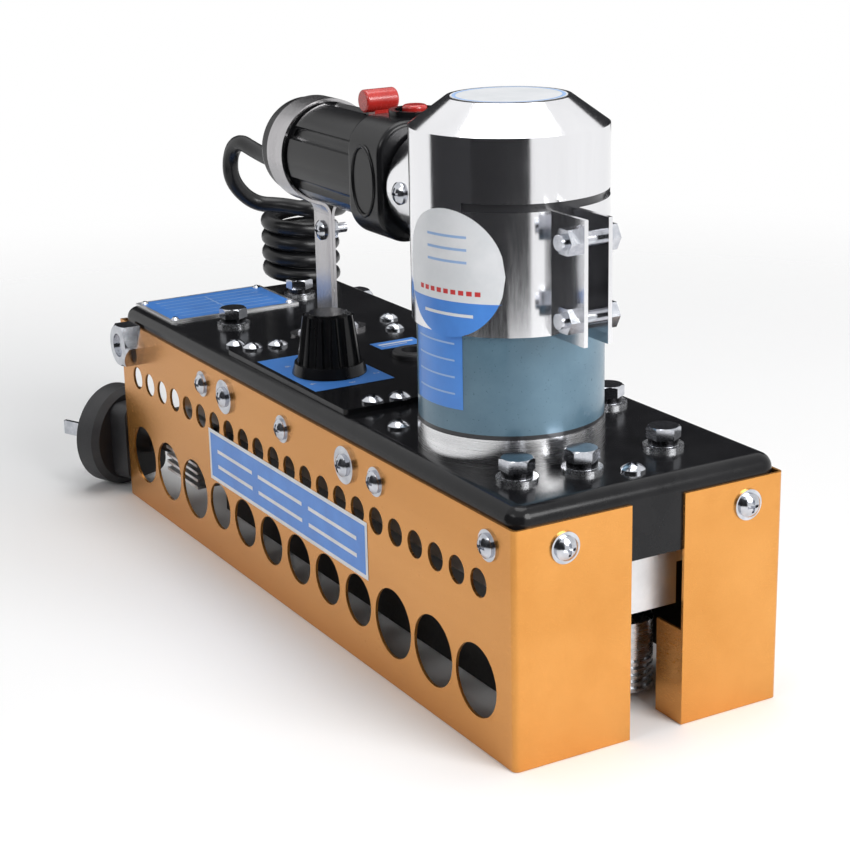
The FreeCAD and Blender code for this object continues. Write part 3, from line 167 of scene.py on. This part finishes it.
finishes = {
    "goldSheet": {"tones": ((0.62, 0.27, 0.06), (0.70, 0.32, 0.08)), "rough": (0.24, 0.28), "metal": 0.75,
                  "stretch": (0.15, 1, 1), "broad": 30, "grain": 2500, "relief": 0.000005, "strength": 0.03},
    "blackEnamel": {"tones": ((0.005, 0.005, 0.006), (0.010, 0.010, 0.011)), "rough": (0.16, 0.24),
                    "coat": 0.05, "shine": 0.2, "broad": 60, "grain": 260, "relief": 0.00004,
                    "strength": 0.12},
    # black chassis plates: partly a guessed inner part, partly painted shade that keeps the inside dark
    # through the holes and the front slot
    "frameBlackAndShade": {"tones": ((0.008, 0.008, 0.008), (0.016, 0.016, 0.016)), "rough": (0.45, 0.6),
                   "broad": 70},
    "chrome": {"tones": ((0.80, 0.80, 0.82), (0.86, 0.86, 0.88)), "rough": (0.10, 0.16), "metal": 1.0,
               "stretch": (1, 1, 0.1), "broad": 50, "grain": 1500, "relief": 0.00001, "strength": 0.06},
    "strapSteel": {"tones": ((0.40, 0.39, 0.40), (0.50, 0.49, 0.50)), "rough": (0.18, 0.28), "metal": 1.0,
                   "stretch": (1, 1, 0.1), "broad": 80, "grain": 1800, "relief": 0.00002, "strength": 0.15},
    "zincScrew": {"tones": ((0.44, 0.46, 0.50), (0.62, 0.63, 0.67)), "rough": (0.10, 0.18), "metal": 1.0,
                  "broad": 250, "grain": 1800, "relief": 0.00002, "strength": 0.2},
    "turnedSteel": {"tones": ((0.45, 0.46, 0.48), (0.58, 0.59, 0.61)), "rough": (0.2, 0.34), "metal": 1.0,
                    "stretch": (0.2, 0.2, 3), "broad": 120, "grain": 1500, "strength": 0.25},
    "machinedRing": {"tones": ((0.72, 0.72, 0.73), (0.84, 0.84, 0.85)), "rough": (0.2, 0.32), "metal": 1.0,
                     "stretch": (0.05, 0.05, 4), "broad": 150, "grain": 900, "strength": 0.25},
    "paleAluminium": {"tones": ((0.62, 0.62, 0.63), (0.74, 0.74, 0.75)), "rough": (0.3, 0.45), "metal": 1.0,
                      "stretch": (0.1, 1, 1), "broad": 60, "grain": 1400, "strength": 0.25},
    "canEnamel": {"tones": ((0.10, 0.185, 0.25), (0.125, 0.22, 0.29)), "rough": (0.26, 0.38), "metal": 0.3,
                  "coat": 0.3, "broad": 90, "grain": 1200, "strength": 0.2},
    "bronze": {"tones": ((0.45, 0.28, 0.10), (0.55, 0.36, 0.15)), "rough": (0.25, 0.4), "metal": 1.0},
    "glossPlastic": {"tones": ((0.006, 0.006, 0.007), (0.009, 0.009, 0.010)), "rough": (0.20, 0.23),
                     "shine": 0.25, "broad": 90, "grain": 700, "relief": 0.00002, "strength": 0.03},
    "redPlastic": {"tones": ((0.42, 0.020, 0.016), (0.50, 0.028, 0.022)), "rough": (0.2, 0.3), "coat": 0.3,
                   "broad": 150, "grain": 900, "strength": 0.2},
    "cordRubber": {"tones": ((0.006, 0.006, 0.007), (0.012, 0.012, 0.013)), "rough": (0.26, 0.36),
                   "shine": 0.35, "broad": 120, "grain": 1600, "relief": 0.00006, "strength": 0.35},
    "plugRubber": {"tones": ((0.010, 0.010, 0.012), (0.018, 0.018, 0.020)), "rough": (0.42, 0.56),
                   "broad": 90, "grain": 1800, "relief": 0.00008, "strength": 0.4},
    "boardResin": {"tones": ((0.02, 0.12, 0.05), (0.03, 0.17, 0.07)), "rough": (0.35, 0.5), "broad": 200},
    "beltCloth": {"tones": ((0.22, 0.12, 0.06), (0.32, 0.19, 0.10)), "rough": (0.5, 0.7),
                  "broad": 700, "grain": 2600, "relief": 0.0001, "strength": 0.5},
    "labelBlue": {"tones": ((0.065, 0.24, 0.70), (0.075, 0.28, 0.78)), "rough": (0.3, 0.4), "coat": 0.2,
                  "broad": 80, "grain": 1500, "relief": 0.00001, "strength": 0.1},
    "labelPale": {"tones": ((0.72, 0.74, 0.76), (0.80, 0.81, 0.83)), "rough": (0.3, 0.42),
                  "broad": 80, "grain": 1500, "relief": 0.00001, "strength": 0.1},
    "labelInk": {"tones": ((0.30, 0.46, 0.74), (0.36, 0.52, 0.80)), "rough": (0.4, 0.5)},
    "labelRed": {"tones": ((0.55, 0.03, 0.03), (0.65, 0.04, 0.04)), "rough": (0.4, 0.5)},
}
paint = {name: finish(name, look) for name, look in finishes.items()}


def heightTest(tree, operation, level):
    # 1 on one side of a level, 0 on the other
    split = addNode(tree, "ShaderNodeSeparateXYZ")
    tree.links.new(objectPlace(tree), split.inputs["Vector"])
    test = addNode(tree, "ShaderNodeMath", operation=operation)
    test.inputs[1].default_value = level
    tree.links.new(split.outputs["Z"], test.inputs[0])
    return test.outputs["Value"]


mixSockets = {"first": 6, "second": 7, "result": 2}   # the colour sockets of a mix node


def mixColours(tree, factor, first):
    # gives back the second colour's socket and the result
    node = addNode(tree, "ShaderNodeMix", data_type="RGBA")
    tree.links.new(factor, node.inputs["Factor"])
    tree.links.new(first, node.inputs[mixSockets["first"]])
    return node.inputs[mixSockets["second"]], node.outputs[mixSockets["result"]]


washerLook = {
    "flatTop": 0.08725,   # just above the flat washers
    "bright": ((0.62, 0.63, 0.66), (0.78, 0.79, 0.81)),
    "dark": ((0.02, 0.02, 0.022), (0.05, 0.05, 0.055)),
    "grain": 1600,
    "grainDetail": 5.0,
    "rough": (0.2, 0.34),
}


def washerSteel():
    # flat washers bright, spring washers above them oxide black
    look = washerLook
    material, tree, shader = newMaterial("washerSteel")
    grain = noise(tree, objectPlace(tree), look["grain"], look["grainDetail"])
    above = heightTest(tree, "GREATER_THAN", look["flatTop"])
    second, mixed = mixColours(tree, above, ramp(tree, grain, look["bright"]))
    tree.links.new(ramp(tree, grain, look["dark"]), second)
    tree.links.new(mixed, shader.inputs["Base Color"])
    tree.links.new(mapRange(tree, grain, noiseLook["span"], *look["rough"]), shader.inputs["Roughness"])
    shader.inputs["Metallic"].default_value = 1.0
    return material


# the dark colour is painted shade for the cap's clamp slit, also laid on the seam band above the base ring
canBands = {"capLevel": 0.1289, "seamLevel": 0.0964, "paintedShade": (0.03, 0.03, 0.033)}


def bareCanBands():
    # enamel between the base ring and the cap; painted shade, a dull dark grey, on the can inside the cap
    # where the clamp slit shows it, and the same dark band on the seam above the base ring
    tree = paint["canEnamel"].node_tree
    colour = tree.nodes["Principled BSDF"].inputs["Base Color"]
    shaded = addNode(tree, "ShaderNodeMath", operation="MAXIMUM")
    tree.links.new(heightTest(tree, "GREATER_THAN", canBands["capLevel"]), shaded.inputs[0])
    tree.links.new(heightTest(tree, "LESS_THAN", canBands["seamLevel"]), shaded.inputs[1])
    second, mixed = mixColours(tree, shaded.outputs["Value"], colour.links[0].from_socket)
    second.default_value = (*canBands["paintedShade"], 1)
    tree.links.new(mixed, colour)


paint["washerSteel"] = washerSteel()
bareCanBands()

dressing = {
    "goldSheet": ("left_cover", "right_cover"),
    "blackEnamel": ("top_plate", "control_panel"),
    "chrome": ("motor_cap", "front_sleeve"),
    "strapSteel": ("rear_strap", "front_strap"),
    "zincScrew": ("cover_screws", "cover_washers", "cross_stud", "carrier_bolts", "plate_screws",
                  "clamp_bolts", "handle_fasteners", "rating_rivets", "lever_pin", "plug_blades"),
    "washerSteel": ("bolt_washers",),
    "turnedSteel": ("left_shaft", "right_shaft", "left_gear", "right_gear", "left_pulley", "right_pulley",
                    "left_idler", "right_idler", "roller_axles", "knob_shaft", "left_feed_roller",
                    "right_feed_roller", "heating_cartridges"),
    "machinedRing": ("motor_base",),
    "paleAluminium": ("carrier_plate", "carrier_spacers", "heat_sink", "cooling_blocks", "block_hangers",
                      "rating_plate"),
    "canEnamel": ("motor_can",),
    "bronze": ("shaft_bushes", "heating_blocks"),
    "glossPlastic": ("handle_left_shell", "handle_right_shell", "knob", "switch_body", "potentiometer",
                     "board_components"),
    "redPlastic": ("switch_lever", "lock_button"),
    "plugRubber": ("plug", "cord_gland", "grommet"),
    "cordRubber": ("cord_lead", "cord_hank", "cord_tail"),
    "boardResin": ("control_board",),
    # the frame plates' black is partly painted shade for the dark inside
    "frameBlackAndShade": ("frame_plates",),
    "beltCloth": ("left_belt", "right_belt"),
}
for name, members in dressing.items():
    for member in members:
        nodes[member].data.materials.clear()
        nodes[member].data.materials.append(paint[name])
print("materials on", sum(len(members) for members in dressing.values()), "CAD nodes")

# cord: the same route as the solid, in metres
cordRoute = {
    "diameter": 0.0068,
    "length": 0.732,
    "lead": ((-0.102, 0.002, 0.150), (-0.1135, 0.002, 0.150), (-0.126, 0.001, 0.1518),
             (-0.1383, -0.001, 0.155), (-0.1476, -0.0012, 0.147), (-0.1476, -0.001, 0.1355),
             (-0.14875, 0.00975, 0.12456), (-0.14277, 0.02012, 0.12382)),
    "tail": ((-0.1583, 0.047, 0.0896), (-0.171, 0.047, 0.0896), (-0.187, 0.047, 0.0808),
             (-0.1935, 0.0465, 0.062), (-0.1935, 0.045, 0.042), (-0.188, 0.042, 0.023),
             (-0.173, 0.038, 0.008), (-0.153, 0.032, 0.0039), (-0.133, 0.021, 0.0039),
             (-0.1205, 0.005, 0.0041), (-0.118, -0.0125, 0.0073), (-0.127, -0.027, 0.013),
             (-0.14237, -0.03264, 0.0223), (-0.15699, -0.03915, 0.0223)),
    "hankCentre": (-0.1515, 0.033),
    "hankRadius": 0.014,
    "hankPitch": 0.0070,   # turns lie against each other
    "hankBottom": 0.0896,
    "hankFirst": 330.0,   # degrees, at the top turn
    "hankLast": 1890.0,
    "hankStep": 20.0,
    "hankEase": 0.0035,   # the top turn lifts towards the lead
    "easeSpread": 300.0,
    "bulge": 0.006,   # the top turn is wider
    "bulgeAngle": 330.0,
    "bulgeSpread": 220.0,
    "bevelSteps": 6,
    "splineSteps": 8,
}


def hankPoint(angle):
    route = cordRoute
    offset = (angle - route["bulgeAngle"]) / route["bulgeSpread"]
    swell = route["bulge"] * math.cos(math.pi / 2 * offset) ** 2 if abs(offset) < 1 else 0
    inside = math.cos(math.radians(route["hankStep"] / 2))   # the spline runs inside its points
    radius = (route["hankRadius"] + swell) / inside
    ease = max(0, 1 - (angle - route["hankFirst"]) / route["easeSpread"]) ** 2
    climb = route["hankPitch"] * (route["hankLast"] - angle) / 360
    turn = math.radians(angle)
    return (route["hankCentre"][0] + radius * math.cos(turn),
            route["hankCentre"][1] + radius * math.sin(turn),
            route["hankBottom"] + climb + route["hankEase"] * ease)


def addCord():
    route = cordRoute
    count = int((route["hankLast"] - route["hankFirst"]) / route["hankStep"])
    middles = [route["hankFirst"] + route["hankStep"] * (k + 0.5) for k in range(count)]
    turns = [hankPoint(angle) for angle in middles]
    points = [*route["lead"], *turns, *route["tail"]]
    data = bpy.data.curves.new("mainsCord", "CURVE")
    data.dimensions = "3D"
    data.bevel_depth = route["diameter"] / 2
    data.bevel_resolution = route["bevelSteps"]
    data.use_fill_caps = True
    line = data.splines.new("NURBS")
    line.points.add(len(points) - 1)
    for point, place in zip(line.points, points):
        point.co = (*place, 1)
    line.order_u = 3
    line.use_endpoint_u = True
    line.resolution_u = route["splineSteps"]
    cord = bpy.data.objects.new("mainsCord", data)
    scene.collection.objects.link(cord)
    data.materials.append(paint["cordRubber"])
    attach(cord, "root")
    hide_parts("cord_lead", "cord_hank", "cord_tail")


addCord()
print("cord laid")


# printed labels: coloured fields with plain ruled bars, each ink a little above the last

inkStep = 0.00003


def topOf(node):
    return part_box(node)[1][2]


def flatPlace(origin, along, across):
    origin, along, across = Vector(origin), Vector(along), Vector(across)
    normal = along.cross(across)
    return lambda u, v, height: origin + along * u + across * v + normal * height


def levelPlace(level):
    return flatPlace((0, 0, level), (1, 0, 0), (0, 1, 0))


def roundPlace(centre, radius, middle, level):
    # u runs round the cylinder, v up it
    def place(u, v, height):
        angle = math.radians(middle) + u / radius
        reach = radius + height
        return Vector((centre[0] + reach * math.cos(angle), centre[1] + reach * math.sin(angle), level + v))
    return place


def layPatch(mesh, place, box, height, slot, steps=1):
    u0, u1, v0, v1 = box
    rows = []
    for k in range(steps + 1):
        u = u0 + (u1 - u0) * k / steps
        rows.append((mesh.verts.new(place(u, v0, height)), mesh.verts.new(place(u, v1, height))))
    for (a, b), (c, d) in zip(rows, rows[1:]):
        face = mesh.faces.new((a, c, d, b))
        face.material_index = slot


def discRing(mesh, place, radius, height, steps=48):
    turns = [2 * math.pi * k / steps for k in range(steps)]
    return [mesh.verts.new(place(radius * math.cos(a), radius * math.sin(a), height)) for a in turns]


def layStrips(mesh, place, sticker, bottom, top, height, slot):
    # a slice of a disc between two levels, in narrow upright strips that follow the cap
    radius, strips = sticker["radius"], sticker["strips"]
    for k in range(strips):
        u0 = -radius + 2 * radius * k / strips
        u1 = -radius + 2 * radius * (k + 1) / strips
        half = [math.sqrt(max(radius ** 2 - u * u, 0)) for u in (u0, u1)]
        low = [max(-h, bottom) for h in half]
        high = [min(h, top) for h in half]
        if max(high[0] - low[0], high[1] - low[1]) <= 0:
            continue
        low = [min(a, b) for a, b in zip(low, high)]
        corners = [(u0, low[0]), (u1, low[1]), (u1, high[1]), (u0, high[0])]
        face = mesh.faces.new([mesh.verts.new(place(u, v, height)) for u, v in corners])
        face.material_index = slot


def addLabel(name, mesh, inks):
    data = bpy.data.meshes.new(name)
    mesh.to_mesh(data)
    mesh.free()
    for ink in inks:
        data.materials.append(paint[ink])
    label = bpy.data.objects.new(name, data)
    scene.collection.objects.link(label)
    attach(label, "root")


collarRim = {
    "centre": (0.010, -0.0205, 0.1611),
    "reach": (0.0080, 0.0125),
    "wire": 0.0007,
    "steps": 64,
    "sides": 8,
}


def addCollarRim():
    # an oval wire, half sunk in the side of the grip's collar
    wide, tall = collarRim["reach"]
    wire, steps, sides = (collarRim[key] for key in ("wire", "steps", "sides"))
    mesh = bmesh.new()
    rings = []
    for k in range(steps):
        a = 2 * math.pi * k / steps
        middle = Vector(collarRim["centre"]) + Vector((wide * math.cos(a), 0, tall * math.sin(a)))
        out = Vector((tall * math.cos(a), 0, wide * math.sin(a))).normalized()
        ring = []
        for n in range(sides):
            b = 2 * math.pi * n / sides
            offset = out * wire * math.cos(b) - Vector((0, wire * math.sin(b), 0))
            ring.append(mesh.verts.new(middle + offset))
        rings.append(ring)
    for k, ring in enumerate(rings):
        after = rings[(k + 1) % steps]
        for n in range(sides):
            m = (n + 1) % sides
            mesh.faces.new((ring[n], ring[m], after[m], after[n])).smooth = True
    bmesh.ops.recalc_face_normals(mesh, faces=mesh.faces)
    addLabel("collarRim", mesh, ("glossPlastic",))


sideLabel = {
    "box": (-0.068, 0.0645, 0.033, 0.0543),
    "face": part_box("left_cover")[0][1],
    "lift": 0.00012,
    "border": 0.0016,
    "bars": ((0.06, 0.30), (0.34, 0.62), (0.66, 0.94)),   # shares of the width
    "rows": (0.32, 0.62),   # shares of the height
    "barHalf": 0.035,
}


def addSideLabel():
    x0, x1, z0, z1 = sideLabel["box"]
    lift, border, barHalf = (sideLabel[key] for key in ("lift", "border", "barHalf"))
    inks = ("labelPale", "labelBlue")
    pale, blue = range(len(inks))
    place = flatPlace((0, sideLabel["face"], 0), (1, 0, 0), (0, 0, 1))
    mesh = bmesh.new()
    layPatch(mesh, place, sideLabel["box"], lift, pale)
    layPatch(mesh, place, (x0 + border, x1 - border, z0 + border, z1 - border), lift + inkStep, blue)
    width, height = x1 - x0, z1 - z0
    for first, last in sideLabel["bars"]:
        for row in sideLabel["rows"]:
            bar = (x0 + first * width, x0 + last * width,
                   z0 + (row - barHalf) * height, z0 + (row + barHalf) * height)
            layPatch(mesh, place, bar, lift + 2 * inkStep, pale)
    addLabel("sideLabel", mesh, inks)


dialLabel = {
    "box": (-0.0335, 0.0154, -0.0453, -0.0126),
    "level": topOf("control_panel"),
    "lift": 0.0001,
    "knob": (-0.006, -0.0285),
    "numbers": 7,
    "sweep": (505, 215),   # degrees, first number to last
    "numberRadius": 0.0178,
    "numberSize": 0.0034,
    "numberLift": 0.00014,
    "edgeRoom": 0.002,   # a number nearer the edge is left out
}


def numberFaces(mesh, text, place, spot, slot):
    curve = bpy.data.curves.new("dialNumber", "FONT")
    curve.body = text
    curve.size = dialLabel["numberSize"]
    curve.align_x = "CENTER"
    curve.align_y = "CENTER"
    holder = bpy.data.objects.new("dialNumber", curve)
    scene.collection.objects.link(holder)
    bpy.context.view_layer.update()
    shape = bpy.data.meshes.new_from_object(holder.evaluated_get(bpy.context.evaluated_depsgraph_get()))
    made = []
    for corner in shape.vertices:
        u, v = spot[0] + corner.co.x, spot[1] + corner.co.y
        made.append(mesh.verts.new(place(u, v, dialLabel["numberLift"])))
    for face in shape.polygons:
        mesh.faces.new([made[k] for k in face.vertices]).material_index = slot
    bpy.data.objects.remove(holder)


def addDialLabel():
    dial = dialLabel
    inks = ("labelBlue", "labelPale")
    blue, pale = range(len(inks))
    place = levelPlace(dial["level"])
    mesh = bmesh.new()
    layPatch(mesh, place, dial["box"], dial["lift"], blue)
    low, high = dial["box"][2] + dial["edgeRoom"], dial["box"][3] - dial["edgeRoom"]
    start, end = dial["sweep"]
    for k in range(dial["numbers"]):
        a = math.radians(start + (end - start) * k / (dial["numbers"] - 1))
        x = dial["knob"][0] + dial["numberRadius"] * math.cos(a)
        y = dial["knob"][1] + dial["numberRadius"] * math.sin(a)
        if low < y < high:
            numberFaces(mesh, str(k), place, (x, y), pale)
    addLabel("dialLabel", mesh, inks)


motor = {
    "centre": (0.095, -0.0125),
    "capRadius": 0.0324,
    "canRadius": 0.0309,
    "capTop": topOf("motor_cap"),
    "lift": 0.00012,
}

capSticker = {
    "middle": -71.0,   # degrees round the cap
    "level": 0.1485,
    "radius": 0.0205,
    "strips": 40,
    "bandTop": -0.0088,
    "bandLine": (-0.010, 0.010, -0.0135, -0.0125),
    "bandSteps": 20,
    "dashes": 9,
    "dashPitch": 0.0029,
    "dashWidth": 0.0019,
    "dashLevels": (-0.0065, -0.0050),
    "dashSteps": 3,
    "lineReach": 0.008,
    "lineHalf": 0.0004,
    "lineLevels": (0.004, 0.008, 0.012),
    "lineSteps": 16,
    "weld": 1e-7,   # joins neighbouring strips
}


def addCapSticker():
    sticker = capSticker
    radius, reach, lineHalf = (sticker[key] for key in ("radius", "lineReach", "lineHalf"))
    inks = ("labelPale", "labelBlue", "labelRed", "labelInk")
    pale, blue, red, ink = range(len(inks))
    faceRadius = motor["capRadius"] + motor["lift"]
    place = roundPlace(motor["centre"], faceRadius, sticker["middle"], sticker["level"])
    mesh = bmesh.new()
    layStrips(mesh, place, sticker, -radius, radius, 0, pale)
    layStrips(mesh, place, sticker, -radius, sticker["bandTop"], inkStep, blue)
    for k in range(sticker["dashes"]):
        u = (k - (sticker["dashes"] - 1) / 2) * sticker["dashPitch"]
        dash = (u - sticker["dashWidth"] / 2, u + sticker["dashWidth"] / 2, *sticker["dashLevels"])
        layPatch(mesh, place, dash, inkStep, red, sticker["dashSteps"])
    layPatch(mesh, place, sticker["bandLine"], 2 * inkStep, pale, sticker["bandSteps"])
    for v in sticker["lineLevels"]:
        line = (-reach, reach, v - lineHalf, v + lineHalf)
        layPatch(mesh, place, line, inkStep, ink, sticker["lineSteps"])
    bmesh.ops.remove_doubles(mesh, verts=mesh.verts, dist=sticker["weld"])
    addLabel("capSticker", mesh, inks)


canSticker = {
    "middle": -85.0,   # degrees round the can
    "sheet": (-0.0125, 0.0125, 0.104, 0.1288),
    "sheetSteps": 24,
    "lines": 4,
    "firstLine": 0.005,
    "linePitch": 0.0055,
    "lineHalf": 0.0003,
    "lineSteps": 18,
    "margin": 0.003,
}


def addCanSticker():
    sticker = canSticker
    u0, u1, v0, v1 = sticker["sheet"]
    margin, lineHalf = sticker["margin"], sticker["lineHalf"]
    inks = ("labelBlue", "labelInk")
    blue, ink = range(len(inks))
    place = roundPlace(motor["centre"], motor["canRadius"] + motor["lift"], sticker["middle"], 0)
    mesh = bmesh.new()
    layPatch(mesh, place, sticker["sheet"], 0, blue, sticker["sheetSteps"])
    for k in range(sticker["lines"]):
        v = v0 + sticker["firstLine"] + sticker["linePitch"] * k
        line = (u0 + margin, u1 - margin, v - lineHalf, v + lineHalf)
        layPatch(mesh, place, line, inkStep, ink, sticker["lineSteps"])
    addLabel("canSticker", mesh, inks)


topSticker = {"radius": 0.0188, "ringEdge": 0.0006, "ringWidth": 0.0012}


def addTopSticker():
    radius, lift = topSticker["radius"], motor["lift"]
    outerRadius = radius - topSticker["ringEdge"]
    inks = ("labelPale", "labelInk")
    pale, ink = range(len(inks))
    place = flatPlace((*motor["centre"], motor["capTop"]), (1, 0, 0), (0, 1, 0))
    mesh = bmesh.new()
    mesh.faces.new(discRing(mesh, place, radius, lift)).material_index = pale
    outer = discRing(mesh, place, outerRadius, lift + inkStep)
    inner = discRing(mesh, place, outerRadius - topSticker["ringWidth"], lift + inkStep)
    for k in range(len(outer)):
        n = (k + 1) % len(outer)
        mesh.faces.new((inner[k], outer[k], outer[n], inner[n])).material_index = ink
    addLabel("topSticker", mesh, inks)


ratingPrint = {
    "box": (-0.1525, -0.1165, -0.0445, 0.0115),
    "level": topOf("rating_plate"),
    "lift": 0.00006,
    "rows": 6,
    "margin": 0.005,
    "bar": 0.0006,
}


def addRatingPrint():
    x0, x1, y0, y1 = ratingPrint["box"]
    lift, rows, margin, bar = (ratingPrint[key] for key in ("lift", "rows", "margin", "bar"))
    inks = ("labelBlue", "labelInk")
    blue, ink = range(len(inks))
    place = levelPlace(ratingPrint["level"])
    mesh = bmesh.new()
    layPatch(mesh, place, ratingPrint["box"], lift, blue)
    for k in range(rows):
        x = x0 + margin + (x1 - x0 - 2 * margin) * k / (rows - 1)
        layPatch(mesh, place, (x - bar / 2, x + bar / 2, y0 + margin, y1 - margin), lift + inkStep, ink)
    middle = (y0 + y1) / 2
    cross = (x0 + margin, x1 - margin, middle - bar / 2, middle + bar / 2)
    layPatch(mesh, place, cross, lift + inkStep, ink)
    addLabel("ratingPrint", mesh, inks)


miniLabel = {
    "box": (-0.0385, -0.0285, 0.006, 0.0255),
    "level": topOf("top_plate"),
    "lift": 0.0001,
    "bars": ((0.003, 0.0045, 0.002, 0.002), (0.006, 0.0066, 0.002, 0.006)),   # from the edges of the box
}


def addMiniLabel():
    x0, x1, y0, y1 = miniLabel["box"]
    inks = ("labelBlue", "labelPale")
    blue, pale = range(len(inks))
    place = levelPlace(miniLabel["level"])
    mesh = bmesh.new()
    layPatch(mesh, place, miniLabel["box"], miniLabel["lift"], blue)
    for rear, front, left, right in miniLabel["bars"]:
        bar = (x0 + rear, x0 + front, y0 + left, y1 - right)
        layPatch(mesh, place, bar, miniLabel["lift"] + inkStep, pale)
    addLabel("miniLabel", mesh, inks)


addCollarRim()
addSideLabel()
addDialLabel()
addCapSticker()
addCanSticker()
addTopSticker()
addRatingPrint()
addMiniLabel()
print("labels printed")


# studio

def rayKinds(tree, *kinds):
    # 1 for any of these kinds of ray
    path = addNode(tree, "ShaderNodeLightPath")
    seen = path.outputs[kinds[0]]
    for kind in kinds[1:]:
        either = addNode(tree, "ShaderNodeMath", operation="MAXIMUM")
        tree.links.new(seen, either.inputs[0])
        tree.links.new(path.outputs[kind], either.inputs[1])
        seen = either.outputs["Value"]
    return seen


def mixShaders(tree, factor, first, second):
    node = addNode(tree, "ShaderNodeMixShader")
    tree.links.new(factor, node.inputs["Fac"])
    tree.links.new(first, node.inputs[1])
    tree.links.new(second, node.inputs[2])
    return node.outputs["Shader"]


def distance(tree, stretch=(1, 1, 1)):
    node = addNode(tree, "ShaderNodeVectorMath", operation="LENGTH")
    tree.links.new(objectPlace(tree, stretch), node.inputs[0])
    return node.outputs["Value"]


floorLook = {
    "radius": 1.2,
    "sides": 96,
    "level": -0.0002,
    "colour": (0.93, 0.93, 0.93, 1),
    "rough": 0.7,
    "fade": (0.32, 0.80),   # clears to the white world between these radii
    "white": 0.4,   # paler to the camera, and the shadow stays
    "whiteSpan": (0.085, 0.22),   # none of it under the part
    "whiteShape": (0.36, 1, 1),
}


def addFloor():
    look = floorLook
    mesh = bmesh.new()
    bmesh.ops.create_circle(mesh, cap_ends=True, segments=look["sides"], radius=look["radius"])
    data = bpy.data.meshes.new("floor")
    mesh.to_mesh(data)
    mesh.free()
    floor = bpy.data.objects.new("floor", data)
    floor.location.z = look["level"]
    scene.collection.objects.link(floor)
    material, tree, shader = newMaterial("paleFloor")
    shader.inputs["Base Color"].default_value = look["colour"]
    shader.inputs["Roughness"].default_value = look["rough"]
    near = distance(tree, look["whiteShape"])
    away = mapRange(tree, near, look["whiteSpan"], 0, look["white"], "SMOOTHSTEP")
    share = addNode(tree, "ShaderNodeMath", operation="MULTIPLY")
    tree.links.new(rayKinds(tree, "Is Camera Ray"), share.inputs[0])
    tree.links.new(away, share.inputs[1])
    white = addNode(tree, "ShaderNodeEmission", Strength=1.0)
    lit = mixShaders(tree, share.outputs["Value"], shader.outputs["BSDF"], white.outputs["Emission"])
    fade = mapRange(tree, distance(tree), look["fade"], 0, 1, "SMOOTHSTEP")
    clear = addNode(tree, "ShaderNodeBsdfTransparent")
    faded = mixShaders(tree, fade, lit, clear.outputs["BSDF"])
    tree.links.new(faded, tree.nodes["Material Output"].inputs["Surface"])
    data.materials.append(material)


worldLook = {
    "tint": (0.95, 0.97, 1, 1),
    "white": (1, 1, 1, 1),
    "ambient": 0.12,
    "side": (0.49, 0.87, 0.0),   # to the right, seen from the camera
    "glows": (((0.45, 0.95), 0.8), ((-0.45, -0.95), 0.2)),   # right, then left: span and strength
}


def addWorld():
    # bright to the right and left of the part, dim before and behind it
    look = worldLook
    world = bpy.data.worlds.new("studioWorld")
    scene.world = world
    world.use_nodes = True
    tree = world.node_tree
    light = tree.nodes["Background"]
    light.inputs["Color"].default_value = look["tint"]
    place = addNode(tree, "ShaderNodeTexCoord")
    dot = addNode(tree, "ShaderNodeVectorMath", operation="DOT_PRODUCT")
    dot.inputs[1].default_value = look["side"]
    tree.links.new(place.outputs["Generated"], dot.inputs[0])
    total = None
    for span, glow in look["glows"]:
        add = addNode(tree, "ShaderNodeMath", operation="ADD")
        tree.links.new(mapRange(tree, dot.outputs["Value"], span, 0, glow, "SMOOTHSTEP"), add.inputs[0])
        add.inputs[1].default_value = look["ambient"]
        if total:
            tree.links.new(total, add.inputs[1])
        total = add.outputs["Value"]
    tree.links.new(total, light.inputs["Strength"])
    white = addNode(tree, "ShaderNodeBackground", Strength=1.0, Color=look["white"])
    seen = rayKinds(tree, "Is Camera Ray", "Is Glossy Ray", "Is Transmission Ray")
    mixed = mixShaders(tree, seen, light.outputs["Background"], white.outputs["Background"])
    tree.links.new(mixed, tree.nodes["World Output"].inputs["Surface"])


cardSetup = {
    "colour": (0.01, 0.01, 0.012, 1),
    "rough": 0.9,
    "cards": (   # name, place, width and height
        ("frontCard", (0.95, -0.53, 0.32), (0.80, 0.90)),
        ("nearCard", (0.32, -0.40, 0.14), (0.40, 0.40)),
        ("leftCard", (-0.02, -0.447, 0.14), (0.48, 0.40)),
        ("backCard", (-0.95, 0.55, 0.40), (1.70, 0.80)),
    ),
}


def addCards():
    # dark cards round the part, seen only in its bright surfaces
    material, _, shader = newMaterial("cardBlack")
    shader.inputs["Base Color"].default_value = cardSetup["colour"]
    shader.inputs["Roughness"].default_value = cardSetup["rough"]
    for name, place, size in cardSetup["cards"]:
        mesh = bmesh.new()
        bmesh.ops.create_grid(mesh, x_segments=1, y_segments=1, size=0.5)   # one metre square before scaling
        data = bpy.data.meshes.new(name)
        mesh.to_mesh(data)
        mesh.free()
        data.materials.append(material)
        card = bpy.data.objects.new(name, data)
        card.scale = (*size, 1)
        card.location = place
        card.rotation_euler = Vector((*place[:2], 0)).to_track_quat("Z", "Y").to_euler()
        card.visible_camera = False
        card.visible_diffuse = False
        card.visible_shadow = False
        card.visible_transmission = False
        scene.collection.objects.link(card)


lampSetup = {
    "aim": (0, 0, 0.09),
    "lamps": (   # name, place, width, watts
        ("key", (1.15, 0.30, 0.75), 0.8, 15),
        ("fill", (0.2, -1.2, 0.75), 0.7, 3.5),
        ("top", (-0.1, 0.1, 1.3), 1.0, 9),
    ),
}


def addLamps():
    aim = Vector(lampSetup["aim"])
    for name, place, width, watts in lampSetup["lamps"]:
        data = bpy.data.lights.new(name + "Lamp", "AREA")
        data.shape = "DISK"
        data.size = width
        data.energy = watts
        lamp = bpy.data.objects.new(name + "Lamp", data)
        lamp.location = place
        lamp.rotation_euler = (Vector(place) - aim).to_track_quat("Z", "Y").to_euler()
        scene.collection.objects.link(lamp)


addFloor()
addWorld()
addCards()
addLamps()
scene.view_settings.view_transform = "Standard"
print("studio lit")
